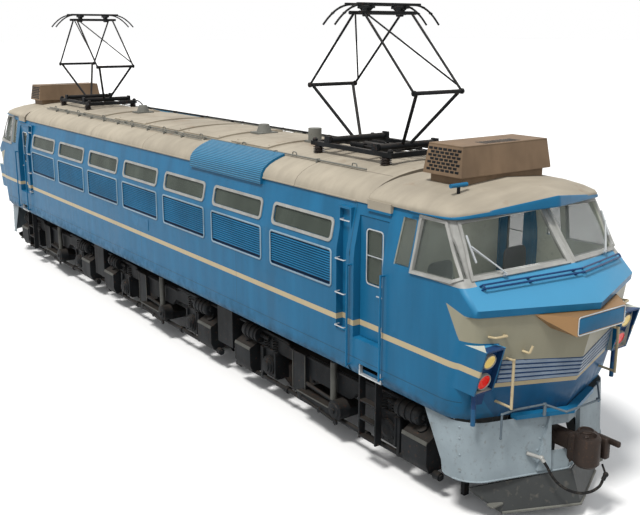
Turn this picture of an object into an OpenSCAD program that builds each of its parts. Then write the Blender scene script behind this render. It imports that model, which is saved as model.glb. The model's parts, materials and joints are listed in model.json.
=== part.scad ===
// Six-axle electric locomotive, two cabs, two folding pantographs.
// X runs along the locomotive with the front cab at +X, Y is across, Z is up.
// The origin is midway between the ends, under the middle, at the tips of the wheel flanges.
// The rear half is the front half turned half a turn about Z.

/* [Body] */
// Half width of the body at its sides
body_half_w = 1400; // [1300:5:1500]
// Height of the lower edge of the body
body_bottom = 1296; // [1200:5:1400]
// Height of the crease where the sides start to lean in
crease_z = 2900; // [2800:5:3000]
// Height of the gutter along the roof
gutter_z = 3544; // [3450:5:3650]
// Half width at the gutter
gutter_half_w = 1270; // [1200:5:1330]
// Rise of the roof from the gutter to the top
roof_rise = 380; // [250:5:450]
// Distance from the middle to the joint between machine room and cab
cab_joint_x = 6220; // [5600:10:6800]
// Distance from the middle to the end of the machine room roof
roof_end_x = 6461; // [6260:1:7000]
// Thickness of walls, doors' frames and bulkheads
wall = 60; // [40:1:90]
// Height of the cab floor
floor_z = 1800; // [1700:5:1900]
// Thickness of the floor
floor_t = 100; // [60:5:160]

/* [Nose] */
// Distance from the middle to the most forward point of the nose
nose_x = 8985; // [8600:5:9400]
// Radius of the nose's lower corners
nose_corner_r = 350; // [250:5:450]

/* [Windows] */
// Spacing of the side windows and grilles
window_pitch = 1705.6; // [1600:0.1:1750]
// How many windows and grilles each side has
window_count = 7; // [3:1:7]
// Width of a side window over its frame
window_w = 1431; // [1000:1:1500]
// Height of a side window over its frame, along the leaning side
window_h = 325; // [250:1:400]
// Width of the window frames' bars
frame_bar = 42; // [25:1:70]
// Height of a grille
grille_h = 484; // [350:1:520]
// Height of the lower edge of the grilles
grille_z = 2373; // [2100:1:2400]

/* [Doors] */
// Width of a cab door opening
door_w = 560; // [480:1:620]
// Distance from the middle to the front edge of the door openings
door_x = 6868; // [6700:1:7000]
// Height of the door opening
door_h = 1590; // [1400:5:1620]
// Gap around each door
door_gap = 8; // [6:0.5:12]
// Thickness of a door
door_t = 40; // [30:1:60]

/* [Running gear] */
// Diameter of the wheel tread
wheel_d = 1120; // [1000:5:1250]
// Height of the flange over the tread
flange_h = 30; // [25:1:35]
// Distance between the backs of the wheels
back_to_back = 990; // [900:1:1420]
// Width of a wheel
wheel_w = 125; // [110:1:140]
// Diameter of the axles
axle_d = 180; // [150:1:200]
// Distance between the two axles of a bogie
wheelbase = 2800; // [2500:10:3000]
// Distance from the middle to the centre of the end bogies
bogie_x = 5310; // [5200:5:5400]

/* [Pantographs] */
// Distance from the middle to the centre of a pantograph
panto_x = 5133; // [5000:1:5250]
// Half distance between the two shafts
shaft_half = 530; // [450:1:600]
// Height of the shafts
shaft_z = 4095; // [4060:1:4150]
// Half distance between the knees, raised
knee_half = 1135; // [1000:1:1250]
// Height of the knees, raised
knee_z = 4840; // [4700:1:5000]
// Half distance between the knees across the locomotive
knee_y = 423; // [350:1:480]
// Half distance between the pivots of the head
head_half = 105; // [80:1:140]
// Height of the head's pivots, raised
head_z = 5850; // [5500:1:6000]
// Half length of the contact strips and horns
bow_half = 940; // [800:1:1000]

/* [Hidden] */
$fn = 32;
ENDS = [["front", 0], ["rear", 180]];
BOGIES = [["front", bogie_x], ["middle", 0], ["rear", -bogie_x]];

BLUE = "#3a7aa8";
CREAM = "#c8b893";
ROOF = "#cfc5b0";
GREY = "#98a3a3";
BLACK = "#26292b";
STEEL = "#5c6164";
GLASS = "#8fa3a8";

wheel_r = wheel_d / 2;
axle_z = wheel_r + flange_h;
lip_z = 2690;                 // top of the hood's lip
cab_top_z = 3590;             // top of the cab's walls at the sides, under its roof
visor_arch = 75;              // how much higher the walls' top is in the middle
lean = atan((body_half_w - gutter_half_w) / (gutter_z - crease_z));
AXLES = [for (b = BOGIES) for (s = [1, -1]) b[1] + s * wheelbase / 2];

// ---------- outlines and lofts ----------

// Half width of the body at a height: a rounded sill, an upright side, a leaning top
sill_r = 104;
function side_y(z) =
    z < body_bottom + sill_r ? body_half_w - sill_r + sqrt(max(0, pow(sill_r, 2)
        - pow(body_bottom + sill_r - z, 2))) * 0.6 + sill_r * 0.4
    : z < crease_z ? body_half_w
    : body_half_w - (z - crease_z) * tan(lean);

// Outline of half the body across, from the lower edge to the gutter, moved inwards by t
function side_outline(t, z_low) = [
    [side_y(body_bottom) - t, z_low],
    for (z = [body_bottom + 35, body_bottom + 70, body_bottom + sill_r])
        if (z > z_low) [side_y(z) - t, z],
    [body_half_w - t, crease_z],
    [side_y(gutter_z) - t, gutter_z]
];

function mirrored(half) = concat(half, [for (i = [len(half) - 1:-1:0]) [-half[i][0], half[i][1]]]);

// Half outline of the roof: a rounded shoulder that flattens towards the middle
roof_power = 2.2;
function roof_outline(half_w, z_low, rise) = [
    for (a = [0:9:90])
        [half_w * pow(cos(a), 2 / roof_power), z_low + rise * pow(sin(a), 2 / roof_power)]
];

// Extrudes an outline in Y and Z along X
module along_x(x0, x1) {
    translate([x0, 0, 0]) rotate([90, 0, 90]) linear_extrude(x1 - x0) children();
}

// Outline at one height of a nose with a V front: it runs from x0 along the sides, round the
// two corners and to the ridge. ridge is the ridge's x, slope is how far the V falls back per
// unit across, half_w is the half width, r is the corners' radius.
corner_steps = 5;
function nose_ring(x0, z, ridge, slope, half_w, r) =
    let (turn = 90 - atan(slope),
         tan_len = r * tan(turn / 2),
         cx = ridge - slope * half_w - tan_len,
         cy = half_w - r)
    concat(
        [[x0, -half_w, z]],
        [for (i = [0:corner_steps]) let (a = turn * i / corner_steps)
            [cx + r * sin(a), -cy - r * cos(a), z]],
        [[ridge, 0, z]],
        [for (i = [corner_steps:-1:0]) let (a = turn * i / corner_steps)
            [cx + r * sin(a), cy + r * cos(a), z]],
        [[x0, half_w, z]]);

// Solid through level rings of equal length
module loft(rings) {
    n = len(rings[0]);
    m = len(rings);
    polyhedron(
        points = [for (ring = rings) for (p = ring) p],
        faces = concat(
            [[for (i = [0:n - 1]) i]],
            [[for (i = [n - 1:-1:0]) (m - 1) * n + i]],
            [for (j = [0:m - 2]) for (i = [0:n - 1]) let (k = (i + 1) % n)
                each [[j * n + i, (j + 1) * n + i, (j + 1) * n + k],
                      [j * n + i, (j + 1) * n + k, j * n + k]]]),
        convexity = 6);
}

// Cab sections: height, ridge set back from nose_x, slope of the V, corner radius
CAB_SECTIONS = [
    [body_bottom, 385, 0.345, nose_corner_r],
    [body_bottom + sill_r, 345, 0.35, nose_corner_r],
    [1700, 262, 0.355, nose_corner_r],
    [2060, 180, 0.36, nose_corner_r - 20],
    [2300, 125, 0.375, nose_corner_r - 60],
    [2585, 62, 0.40, nose_corner_r - 130],
    [2610, 15, 0.405, 130],
    [lip_z, 0, 0.41, 110],
    [2840, 175, 0.40, 120],
    [2960, 317, 0.385, 130],
    [3060, 435, 0.335, 140],
    [3300, 640, 0.26, 140],
    [cab_top_z + visor_arch + 1, 925, 0.19, 130]
];

// Cab outline at wall depth t, starting at x0
module cab_solid(x0, t) {
    loft([for (s = CAB_SECTIONS)
        nose_ring(x0, s[0], nose_x - s[1] - t * sqrt(1 + s[2] * s[2]), s[2],
            side_y(s[0]) - t, max(s[3] - t, 40))]);
}

// Everything over the arched line along which the cab's walls meet its roof, lifted by up
module over_walls(up = 0) {
    along_x(cab_joint_x - 50, nose_x) polygon([[-2000, cab_top_z + up],
        [-gutter_half_w, cab_top_z + up], [0, cab_top_z + visor_arch + up],
        [gutter_half_w, cab_top_z + up], [2000, cab_top_z + up], [2000, 5000], [-2000, 5000]]);
}

// ---------- machine room ----------

module rounded_plate(w, h, r, t) {
    linear_extrude(t) union() {
        square([w - 2 * r, h], center = true);
        square([w, h - 2 * r], center = true);
        for (x = [-1, 1], y = [-1, 1]) translate([x * (w / 2 - r), y * (h / 2 - r)]) circle(r);
    }
}

// Places children at every side window: local X along the side, Y up it, Z outwards
window_mid_z = 3110;
module at_windows(out = 0) {
    for (i = [0:window_count - 1], s = [0, 180])
        rotate([0, 0, s]) translate([(i - (window_count - 1) / 2) * window_pitch, 0, 0])
            translate([0, -side_y(window_mid_z), window_mid_z]) rotate([90 - lean, 0, 0])
                translate([0, 0, out]) children();
}

// Places children at every grille, in the same way
module at_grilles(out = 0) {
    for (i = [0:window_count - 1], s = [0, 180])
        rotate([0, 0, s]) translate([(i - (window_count - 1) / 2) * window_pitch,
            -body_half_w - out, grille_z + grille_h / 2]) rotate([90, 0, 0]) children();
}

grille_w = window_w + 11;
grille_depth = 35;
glass_t = 12;
glass_set = 22;               // how far glass sits inside the outer face
LADDER = [5950, 6150, 1830, 3430, 110];   // recess: x from, x to, z from, z to, depth

module ladder_recess() {
    for (s = [0, 180]) rotate([0, 0, s]) for (m = [0, 1]) mirror([0, m, 0])
        translate([LADDER[0], -body_half_w - 50, LADDER[2]])
            cube([LADDER[1] - LADDER[0], LADDER[4] + 50, LADDER[3] - LADDER[2]]);
}

module ladder_liner() {
    for (s = [0, 180]) rotate([0, 0, s]) for (m = [0, 1]) mirror([0, m, 0])
        translate([LADDER[0] - 30, -body_half_w + wall - 5, LADDER[2] - 30])
            cube([LADDER[1] - LADDER[0] + 60, LADDER[4] + 30 - wall + 5,
                LADDER[3] - LADDER[2] + 60]);
}

module machine_room_body() {
    color(BLUE) difference() {
        union() {
            difference() {
                along_x(-cab_joint_x, cab_joint_x)
                    polygon(mirrored(side_outline(0, body_bottom)));
                along_x(-cab_joint_x + wall, cab_joint_x - wall)
                    polygon(mirrored([[body_half_w - wall, floor_z],
                        [body_half_w - wall, crease_z], [gutter_half_w - wall, gutter_z + 1]]));
                along_x(-cab_joint_x - 1, cab_joint_x + 1)
                    polygon(mirrored([[body_half_w - 2 * wall, body_bottom - 1],
                        [body_half_w - wall, body_bottom + sill_r],
                        [body_half_w - wall, floor_z - floor_t]]));
            }
            ladder_liner();
        }
        ladder_recess();
        at_windows(-wall - 40) rounded_plate(window_w - 2 * frame_bar, window_h - 2 * frame_bar,
            50, wall + 80);
        at_grilles(-grille_depth) rounded_plate(grille_w, grille_h, 40, grille_depth + 20);
    }
}

module window_frames() {
    color(CREAM) at_windows(0.5) difference() {
        rounded_plate(window_w, window_h, 80, 14);
        translate([0, 0, -1]) rounded_plate(window_w - 2 * frame_bar, window_h - 2 * frame_bar,
            50, 20);
    }
}

module machine_room_windows() {
    color(GLASS) at_windows(-glass_set) rounded_plate(window_w - 2 * frame_bar - 2,
        window_h - 2 * frame_bar - 2, 49, glass_t);
}

module side_grilles() {
    color(BLUE) at_grilles(-grille_depth + 1) difference() {
        rounded_plate(grille_w - 2, grille_h - 2, 39, grille_depth + 6);
        translate([0, 0, 16]) rounded_plate(grille_w - 32, grille_h - 32, 26, grille_depth);
    }
}

module machinery() {
    // Transformer and control racks, with a passage along each side
    color(STEEL) for (b = [[-5000, 3000], [-1500, 3000], [2000, 3000]])
        translate([b[0], -650, floor_z]) cube([b[1], 1300, 1350]);
}

roof_t = 40;
module machine_room_roof() {
    color(ROOF) along_x(-roof_end_x, roof_end_x) difference() {
        polygon(mirrored(roof_outline(gutter_half_w + 18, gutter_z, roof_rise)));
        polygon(mirrored(concat([[gutter_half_w + 18 - roof_t, gutter_z - 1]],
            roof_outline(gutter_half_w + 18 - roof_t, gutter_z, roof_rise - roof_t))));
    }
}

louvre_x = 1880;
louvre_len = 2150;
louvre_proud = 42;            // how far the louvre band stands off the roof's shoulder
louvre_low = 3462;
louvre_top_y = 900;           // half width at which the band ends on the roof
module roof_louvres() {
    color(BLUE) for (s = [0, 180]) rotate([0, 0, s])
        along_x(louvre_x, louvre_x + louvre_len) difference() {
            intersection() {
                polygon(mirrored(concat([[gutter_half_w + 18 + louvre_proud, louvre_low]],
                    roof_outline(gutter_half_w + 18 + louvre_proud, gutter_z,
                        roof_rise + louvre_proud))));
                translate([-2000, louvre_low]) square([2000 - louvre_top_y, 800]);
            }
            polygon(mirrored(roof_outline(gutter_half_w + 20, gutter_z - 0.5, roof_rise + 2)));
            polygon(mirrored(side_outline(-2, body_bottom)));
        }
}

// Ventilators: x, radius at the foot, radius at the top, height, square base
VENTILATORS = [
    [-2680, 130, 85, 130, 340],
    [2070, 130, 85, 130, 340],
    [3540, 105, 105, 190, 240]
];
roof_top_z = gutter_z + roof_rise;
module roof_ventilators() {
    color(GREY) for (v = VENTILATORS) translate([v[0], 0, roof_top_z]) {
        translate([-v[4] / 2, -v[4] / 2, 0]) cube([v[4], v[4], 30]);
        translate([0, 0, 30]) cylinder(r1 = v[1], r2 = v[2], h = v[3]);
    }
}

busbar_y = 600;
busbar_z = 3940;
busbar_d = 30;
module roof_fittings() {
    // High voltage bus bar on posts along the left side, and a horn on each cab roof
    color(STEEL) {
        translate([-4150, busbar_y, busbar_z]) rotate([0, 90, 0]) cylinder(d = busbar_d, h = 8300);
        for (x = [-3600:1200:3600]) difference() {
            translate([x, busbar_y, 3800]) cylinder(d = 70, h = busbar_z - 3800);
            along_x(-5000, 5000)
                polygon(mirrored(roof_outline(gutter_half_w + 19, gutter_z, roof_rise + 1)));
            translate([x - 100, busbar_y, busbar_z]) rotate([0, 90, 0])
                cylinder(d = busbar_d, h = 200);
        }
    }
    color(BLUE) for (e = ENDS) rotate([0, 0, e[1]]) translate([7593, -900, 3790]) {
        difference() {
            cylinder(d = 40, h = 90);
            translate([-7593, 900, -3790]) cab_roof_solid(1);
        }
        translate([0, 130, 110]) rotate([90, 0, 0]) cylinder(d = 50, h = 260);
    }
}

// ---------- cabs ----------

door_low = floor_z;
door_y = -(side_y(door_low + door_h) - 8);    // outer face of the closed door
jamb_in = door_y + door_t + 6;                // inner edge of the door frame

module door_opening(x_clear = 0) {
    translate([door_x - door_w - x_clear, -body_half_w - 50, door_low])
        cube([door_w + 2 * x_clear, body_half_w + 50 + jamb_in + 60, door_h]);
}

module both_sides() {
    children();
    mirror([0, 1, 0]) children();
}

// Side windows of the cab: corners as x and height
QUARTER_WINDOW = [[7060, 2930], [7320, 2930], [7330, 3240], [7330, 3495], [7100, 3495]];
WRAP_WINDOW = [[7400, 2925], [8020, 2950], [8085, 2990], [7765, 3530], [7425, 3530]];
WRAP_CORNER = [[7900, 2945], [8090, 2975], [8700, 3010], [8300, 3530], [7700, 3530]];
pillar_y = 1245;              // middle of the corner pillars
pillar_w = 60;

// Front panes as y and height, one side of the middle pillar
FRONT_PANE = [[45, 3090], [pillar_y - pillar_w / 2, 2995], [pillar_y - pillar_w / 2 - 50, 3535],
    [45, 3605]];

module front_pane_prism() {
    translate([7600, 0, 0]) rotate([90, 0, 90]) linear_extrude(1200) polygon(FRONT_PANE);
}

module cab_window_cuts() {
    both_sides() {
        side_prism(QUARTER_WINDOW, 1100);
        side_prism(WRAP_WINDOW, 1100);
        side_prism(WRAP_CORNER, pillar_y + pillar_w / 2);
        mirror([0, 1, 0]) front_pane_prism();
    }
}

module side_prism(outline, y_in) {
    translate([0, -y_in, 0]) rotate([90, 0, 0]) linear_extrude(400) polygon(outline);
}

// Lamp pods: a box at each lower corner of the nose, with its mouth leaning forward
pod_low = 1710;
pod_high = 2266;
pod_low_x = 8420;
pod_high_x = 8574;
pod_out = 1372;
pod_in = 1068;
pod_wall = 24;
pod_deep = 75;
pod_lean = atan((pod_high_x - pod_low_x) / (pod_high - pod_low));

module lamp_pod() {
    difference() {
        translate([0, -pod_in, 0]) rotate([90, 0, 0]) linear_extrude(pod_out - pod_in)
            polygon([[8000, pod_low], [pod_low_x, pod_low], [pod_high_x, pod_high],
                [8000, pod_high]]);
        translate([0, -pod_in - pod_wall, 0]) rotate([90, 0, 0])
            linear_extrude(pod_out - pod_in - 2 * pod_wall)
                polygon([[pod_low_x - pod_deep + 8, pod_low + pod_wall],
                    [pod_low_x + 100, pod_low + pod_wall], [pod_high_x + 100, pod_high - pod_wall],
                    [pod_high_x - pod_deep - 8, pod_high - pod_wall]]);
    }
    translate([8318, -1258, body_bottom]) cylinder(d = 56, h = pod_low + 5 - body_bottom);
}

module cab_shell() {
    color(BLUE) difference() {
        union() {
            difference() {
                union() {
                    cab_solid(cab_joint_x, 0);
                    both_sides() lamp_pod();
                }
                // cabin
                intersection() {
                    cab_solid(cab_joint_x + wall, wall);
                    translate([6000, -2000, floor_z]) cube([3500, 4000, 2000]);
                }
                // space under the floor
                intersection() {
                    cab_solid(cab_joint_x - 10, wall);
                    translate([6000, -2000, 0]) cube([3500, 4000, floor_z - floor_t]);
                }
                translate([6000, -body_half_w + 2 * wall, body_bottom - 50])
                    cube([2150, 2 * body_half_w - 4 * wall, 60]);
            }
            both_sides() intersection() {
                cab_solid(cab_joint_x, 0);
                translate([door_x - door_w - 50, -body_half_w - 10, door_low - 60])
                    cube([door_w + 100, body_half_w + 10 + jamb_in, door_h + 110]);
            }
        }
        both_sides() {
            door_opening();
            translate([step_x[0], -body_half_w - 50, body_bottom - 50])
                cube([step_x[1] - step_x[0], 120, step_top - body_bottom + 50]);
        }
        cab_window_cuts();
        // the machine room roof's overhang
        translate([cab_joint_x - 1, -2000, gutter_z]) cube([roof_end_x + 3 - cab_joint_x,
            4000, 400]);
        over_walls();
    }
}

module at_end(name) {
    rotate([0, 0, name == "rear" ? 180 : 0]) children();
}

// Cab roof sections: height at the sides, ridge x, slope of the V, half width, corner radius
eave_half_w = 1295;
CAB_ROOF_SECTIONS = [
    [cab_top_z - 30, 8290, 0.30, eave_half_w - 10, 260],
    [cab_top_z, 8302, 0.30, eave_half_w, 260],
    [cab_top_z + 45, 8312, 0.30, eave_half_w, 260],
    [cab_top_z + 80, 8290, 0.30, eave_half_w - 25, 260],
    [cab_top_z + 130, 8170, 0.30, eave_half_w - 110, 280],
    [cab_top_z + 180, 7980, 0.28, eave_half_w - 270, 300],
    [cab_top_z + 215, 7760, 0.26, eave_half_w - 480, 300],
    [cab_top_z + 232, 7450, 0.24, eave_half_w - 800, 200]
];
door_eave_z = 3470;
ceiling_h = 70;

// The ring's points rise by the walls' arch towards the middle
function arched(ring) = [for (p = ring)
    [p[0], p[1], p[2] + visor_arch * max(0, 1 - abs(p[1]) / gutter_half_w)]];

module cab_roof_solid(out = 0) {
    loft([for (s = CAB_ROOF_SECTIONS)
        arched(nose_ring(roof_end_x + 3, s[0] + out, s[1] + out, s[2], s[3] + out, s[4]))]);
}

module cab_roofs() {
    color(ROOF) for (e = ENDS) rotate([0, 0, e[1]]) difference() {
        union() {
            intersection() {
                cab_roof_solid();
                over_walls();
            }
            both_sides() difference() {
                translate([roof_end_x + 3, -eave_half_w - 20, door_eave_z])
                    cube([door_x + 30 - roof_end_x - 3, 60, cab_top_z + 20 - door_eave_z]);
                cab_solid(cab_joint_x, -1);
            }
        }
        intersection() {
            translate([roof_end_x + 100, -1150, cab_top_z - 50]) cube([1100, 2300, 400]);
            translate([0, 0, ceiling_h]) below_walls_top();
        }
    }
}

// Everything below the arched line along which the cab's walls meet its roof
module below_walls_top() {
    difference() {
        translate([cab_joint_x, -2000, 0]) cube([nose_x - cab_joint_x, 4000, 4900]);
        over_walls();
    }
}

module cab_windows() {
    color(GLASS) for (e = ENDS) rotate([0, 0, e[1]]) intersection() {
        difference() {
            cab_solid(cab_joint_x, glass_set);
            cab_solid(cab_joint_x - 1, glass_set + glass_t);
        }
        cab_window_cuts();
    }
}

module cab_desks() {
    color(GREY) for (e = ENDS) rotate([0, 0, e[1]]) {
        intersection() {
            translate([7850, -1250, floor_z + 1]) cube([700, 2500, 1050]);
            cab_solid(cab_joint_x, wall + 2);
        }
        translate([7650, -1050, floor_z + 701]) cube([201, 850, 120]);
    }
}

module driver_seats() {
    color(BLACK) for (e = ENDS) rotate([0, 0, e[1]]) for (y = [-720, 620]) {
        translate([7150, y - 230, floor_z + 1]) translate([150, 170, 0]) cylinder(d = 90, h = 400);
        translate([7150, y - 230, floor_z + 401]) cube([460, 460, 110]);
        translate([7110, y - 220, floor_z + 460]) cube([90, 440, 640]);
    }
}

ac_x = 7188;
ac_low = 3950;
ac_high = 4314;
module air_conditioners() {
    color("#8b725b") for (e = ENDS) rotate([0, 0, e[1]]) {
        hull() {
            translate([ac_x - 325, -781, ac_low]) cube([650, 1562, 20]);
            translate([ac_x - 283, -732, ac_high - 1]) cube([566, 1464, 1]);
        }
        difference() {
            translate([ac_x - 270, -700, cab_top_z + 60]) cube([540, 1400, ac_low - cab_top_z - 60]);
            cab_roof_solid(1);
        }
    }
}

// Lamps: height, diameter
LAMPS = [[1852, 176, "red"], [2111, 160, "khaki"]];
lamp_y = (pod_in + pod_out) / 2;
lamp_t = 30;
module lamps() {
    for (e = ENDS) rotate([0, 0, e[1]]) both_sides() for (l = LAMPS) color(l[2])
        translate([pod_low_x - pod_deep + 4 + (l[0] - pod_low) * tan(pod_lean), -lamp_y, l[0]])
            rotate([0, 90 + pod_lean, 0]) cylinder(d = l[1], h = lamp_t);
}

// Number box under the hood's lip: a flat plate in front, with wings that run out on the nose
plate_x = 9002;
plate_half_w = 420;
plate_low = 2372;
plate_high = 2598;
module number_boxes() {
    color("#8a6233") for (e = ENDS) rotate([0, 0, e[1]]) difference() {
        hull() {
            translate([plate_x - 10, -plate_half_w, plate_low])
                cube([10, 2 * plate_half_w, plate_high - plate_low]);
            translate([8640, -710, plate_high - 12]) cube([10, 1420, 12]);
            translate([8700, -500, plate_low + 40]) cube([10, 1000, 10]);
        }
        cab_solid(cab_joint_x, -1);
    }
}

// Handrails in front of the nose: a post with a bracket back to the nose at each end
end_rail_y = 935;
end_rail_x = 8583;
end_rail_d = 34;
END_RAIL_Z = [1524, 2083];
module end_handrails() {
    color(CREAM) for (e = ENDS) rotate([0, 0, e[1]]) both_sides() difference() {
        union() {
            translate([end_rail_x, -end_rail_y, END_RAIL_Z[0] - end_rail_d / 2])
                cylinder(d = end_rail_d, h = END_RAIL_Z[1] - END_RAIL_Z[0] + end_rail_d);
            for (z = END_RAIL_Z) translate([end_rail_x, -end_rail_y, z]) rotate([0, -90, 0])
                cylinder(d = end_rail_d - 4, h = 300);
        }
        cab_solid(cab_joint_x, -1);
    }
}

// Footplate along the nose's lower edge, with the bent uncoupling lever over it
footplate_z = 1270;
footplate_t = 52;
footplate_deep = 115;
footplate_half = 700;
nose_low_x = 8620;            // just in front of the nose's ridge at the footplate
nose_low_slope = 0.345;
LEVER = [[8520, -1010, 1150], [8520, -1010, 1440], [8560, -860, 1470], [8640, -440, 1460],
    [8800, -240, 1373], [8790, 380, 1362], [8560, 640, 1440]];
lever_d = 26;
// Brackets that carry the lever: x, y, height
LEVER_BRACKETS = [[8642, -430, 150], [8752, 400, 40]];
module footplates() {
    color(BLUE) for (e = ENDS) rotate([0, 0, e[1]]) translate([0, 0, footplate_z])
        linear_extrude(footplate_t) polygon([
            [nose_low_x - footplate_half * nose_low_slope, -footplate_half],
            [nose_low_x - footplate_half * nose_low_slope + footplate_deep * 0.8, -footplate_half],
            [nose_low_x + footplate_deep, 0],
            [nose_low_x - footplate_half * nose_low_slope + footplate_deep * 0.8, footplate_half],
            [nose_low_x - footplate_half * nose_low_slope, footplate_half],
            [nose_low_x, 0]]);
    color(CREAM) for (e = ENDS) rotate([0, 0, e[1]]) {
        for (i = [0:len(LEVER) - 2]) bar(LEVER[i], LEVER[i + 1], lever_d);
        for (p = LEVER) translate(p) sphere(d = lever_d + 8);
        for (b = LEVER_BRACKETS) translate([b[0], b[1], footplate_z + footplate_t])
            cylinder(d = 40, h = b[2]);
    }
}

side_rail_y = body_half_w + 60;
SIDE_RAIL_Z = [1420, 2750];
module side_handrails() {
    color(BLUE) for (e = ENDS) rotate([0, 0, e[1]]) both_sides()
        for (x = [door_x - door_w - 55, door_x + 40]) {
            translate([x, -side_rail_y, SIDE_RAIL_Z[0] - 15])
                cylinder(d = 30, h = SIDE_RAIL_Z[1] - SIDE_RAIL_Z[0] + 30);
            for (z = SIDE_RAIL_Z) translate([x, -body_half_w - 1, z]) rotate([90, 0, 0])
                cylinder(d = 26, h = 60);
        }
}

skirt_x = 7565;
skirt_low = 540;
skirt_top = footplate_z - 4;
skirt_t = 12;
skirt_slope = 0.32;
// Rear edge of the skirt that is cut away, as x and height
SKIRT_CUT = [[7400, 1262], [skirt_x, 1262], [7870, 700], [7895, 560], [8110, 470], [7400, 400]];
module skirt_solid(t) {
    loft([for (s = [[skirt_low - t, 8700], [skirt_top + t, 8650]])
        nose_ring(skirt_x - t, s[0], s[1] - t * sqrt(1 + pow(skirt_slope, 2)), skirt_slope,
            1290 - t, 400 - t)]);
}

module skirts() {
    color(GREY) for (e = ENDS) rotate([0, 0, e[1]]) difference() {
        skirt_solid(0);
        skirt_solid(skirt_t);
        translate([8300, -240, 800]) cube([800, 480, 325]);
        translate([0, 2000, 0]) rotate([90, 0, 0]) linear_extrude(4000) polygon(SKIRT_CUT);
    }
}

coupler_z = 913;
coupler_face_x = 9100;
module couplers() {
    color("#3a3633") for (e = ENDS) rotate([0, 0, e[1]]) {
        translate([7900, -90, coupler_z - 90]) cube([900, 180, 180]);
        difference() {
            translate([8780, -205, coupler_z - 200]) cube([coupler_face_x - 8780, 410, 400]);
            translate([8960, -60, coupler_z + 100]) cube([100, 130, 101]);
        }
        // guard arm and horn on one side of the head
        translate([coupler_face_x - 1, 120, coupler_z - 60]) cube([160, 85, 220]);
    }
}

// Plough: two leaning plates that meet in front, hung from the underframe
plough_t = 16;
PLOUGH = [[8224, -1150, 444], [8238, -1120, 372], [8479, -864, 130], [8925, 0, 165], [8761, 0, 563]];
module pilot_boards() {
    color(BLACK) for (e = ENDS) rotate([0, 0, e[1]]) both_sides() {
        hull() for (p = PLOUGH) translate([p[0] - plough_t, p[1] - (p[1] == 0 ? 1 : 0), p[2]])
            cube([plough_t, 1, 1]);
        translate([0, -580, 0]) rotate([90, 0, 0]) linear_extrude(40) polygon([[8000, 1400],
            [8000, 1200], [8340, 420], [8465, 420], [8465, 520], [8130, 1200], [8130, 1400]]);
    }
}

HOSE_ROUTE = [[8690, -430, 745], [8735, -425, 700], [8775, -415, 640], [8830, -385, 560],
    [8900, -330, 490], [8970, -250, 440], [9030, -150, 415], [9080, -40, 425], [9110, 60, 470],
    [9115, 110, 540]];
hose_d = 34;
module brake_hose() {
    // One tube swept along the route
    n = 8;
    rings = [for (i = [0:len(HOSE_ROUTE) - 1])
        let (a = HOSE_ROUTE[max(i - 1, 0)], b = HOSE_ROUTE[min(i + 1, len(HOSE_ROUTE) - 1)],
             d = (b - a) / norm(b - a), u0 = cross(d, [1, -1, 0]), u = u0 / norm(u0),
             v = cross(d, u))
        [for (k = [0:n - 1]) HOSE_ROUTE[i] + hose_d / 2 * (u * cos(360 * k / n)
            + v * sin(360 * k / n))]];
    color("black") loft(rings);
}

// Cock that the hose leaves, and the coupling and hanger on its far end
COCK = [8530, -560, 838];
HANGER = [9060, 150, coupler_z - 207];
module brake_cocks() {
    last = len(HOSE_ROUTE) - 1;
    out = HOSE_ROUTE[1] - HOSE_ROUTE[0];
    bend = HOSE_ROUTE[0] - 60 * out / norm(out);
    end = HOSE_ROUTE[last] - HOSE_ROUTE[last - 1];
    palm = HOSE_ROUTE[last] + 70 * end / norm(end);
    color(CREAM) for (e = ENDS) rotate([0, 0, e[1]]) difference() {
        union() {
            bar(bend, HOSE_ROUTE[0], 48);
            translate(bend) sphere(d = 62);
            bar(COCK, bend, 44);
        }
        skirt_solid(-1);
    }
    color(BLACK) for (e = ENDS) rotate([0, 0, e[1]]) {
        bar(HOSE_ROUTE[last], palm, 50);
        translate(palm) sphere(d = 64);
        bar(palm, HANGER, 24);
    }
}

// ---------- doors ----------

// Door window: distance from the door opening's rear edge, width, height of its foot, height
DOOR_WINDOW = [120, 300, 2540, 690];
module cab_door() {
    color(BLUE) difference() {
        translate([door_x - door_w + door_gap, door_y, door_low + door_gap])
            cube([door_w - 2 * door_gap, door_t, door_h - 2 * door_gap]);
        translate([door_x - door_w + DOOR_WINDOW[0], door_y - 5, DOOR_WINDOW[2]])
            cube([DOOR_WINDOW[1], door_t + 10, DOOR_WINDOW[3]]);
    }
    color(GLASS) translate([door_x - door_w + DOOR_WINDOW[0] - 5,
        door_y + door_t / 2 - glass_t / 2, DOOR_WINDOW[2] - 5])
            cube([DOOR_WINDOW[1] + 10, glass_t, DOOR_WINDOW[3] + 10]);
}

// ---------- underframe and running gear ----------

pivot_d = 300;
pivot_low = 880;
beam_low = 1400;
beam_h = floor_z - floor_t - 10 - beam_low;
module underframe() {
    color(BLACK) {
        for (s = [-1, 1]) translate([-8150, s * 600 - 100, beam_low]) cube([16300, 200, beam_h]);
        for (b = BOGIES) translate([b[1] - 250, -1250, beam_low]) cube([500, 2500, beam_h]);
        for (b = BOGIES) translate([b[1], 0, pivot_low])
            cylinder(d = pivot_d, h = beam_low + 10 - pivot_low);
        for (s = [-1, 1]) translate([s * 7950 - 100, -501, beam_low]) cube([200, 1002, beam_h]);
        for (s = [-1, 1]) translate([s * 7950 - 100, -60, coupler_z + 90])
            cube([200, 120, beam_low - coupler_z - 80]);
    }
}

module equipment_boxes() {
    color(BLACK) for (s = [0, 180]) rotate([0, 0, s]) both_sides() {
        translate([2400, -1180, 560]) cube([480, 420, body_bottom - 560 + 60]);
    }
}

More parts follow.
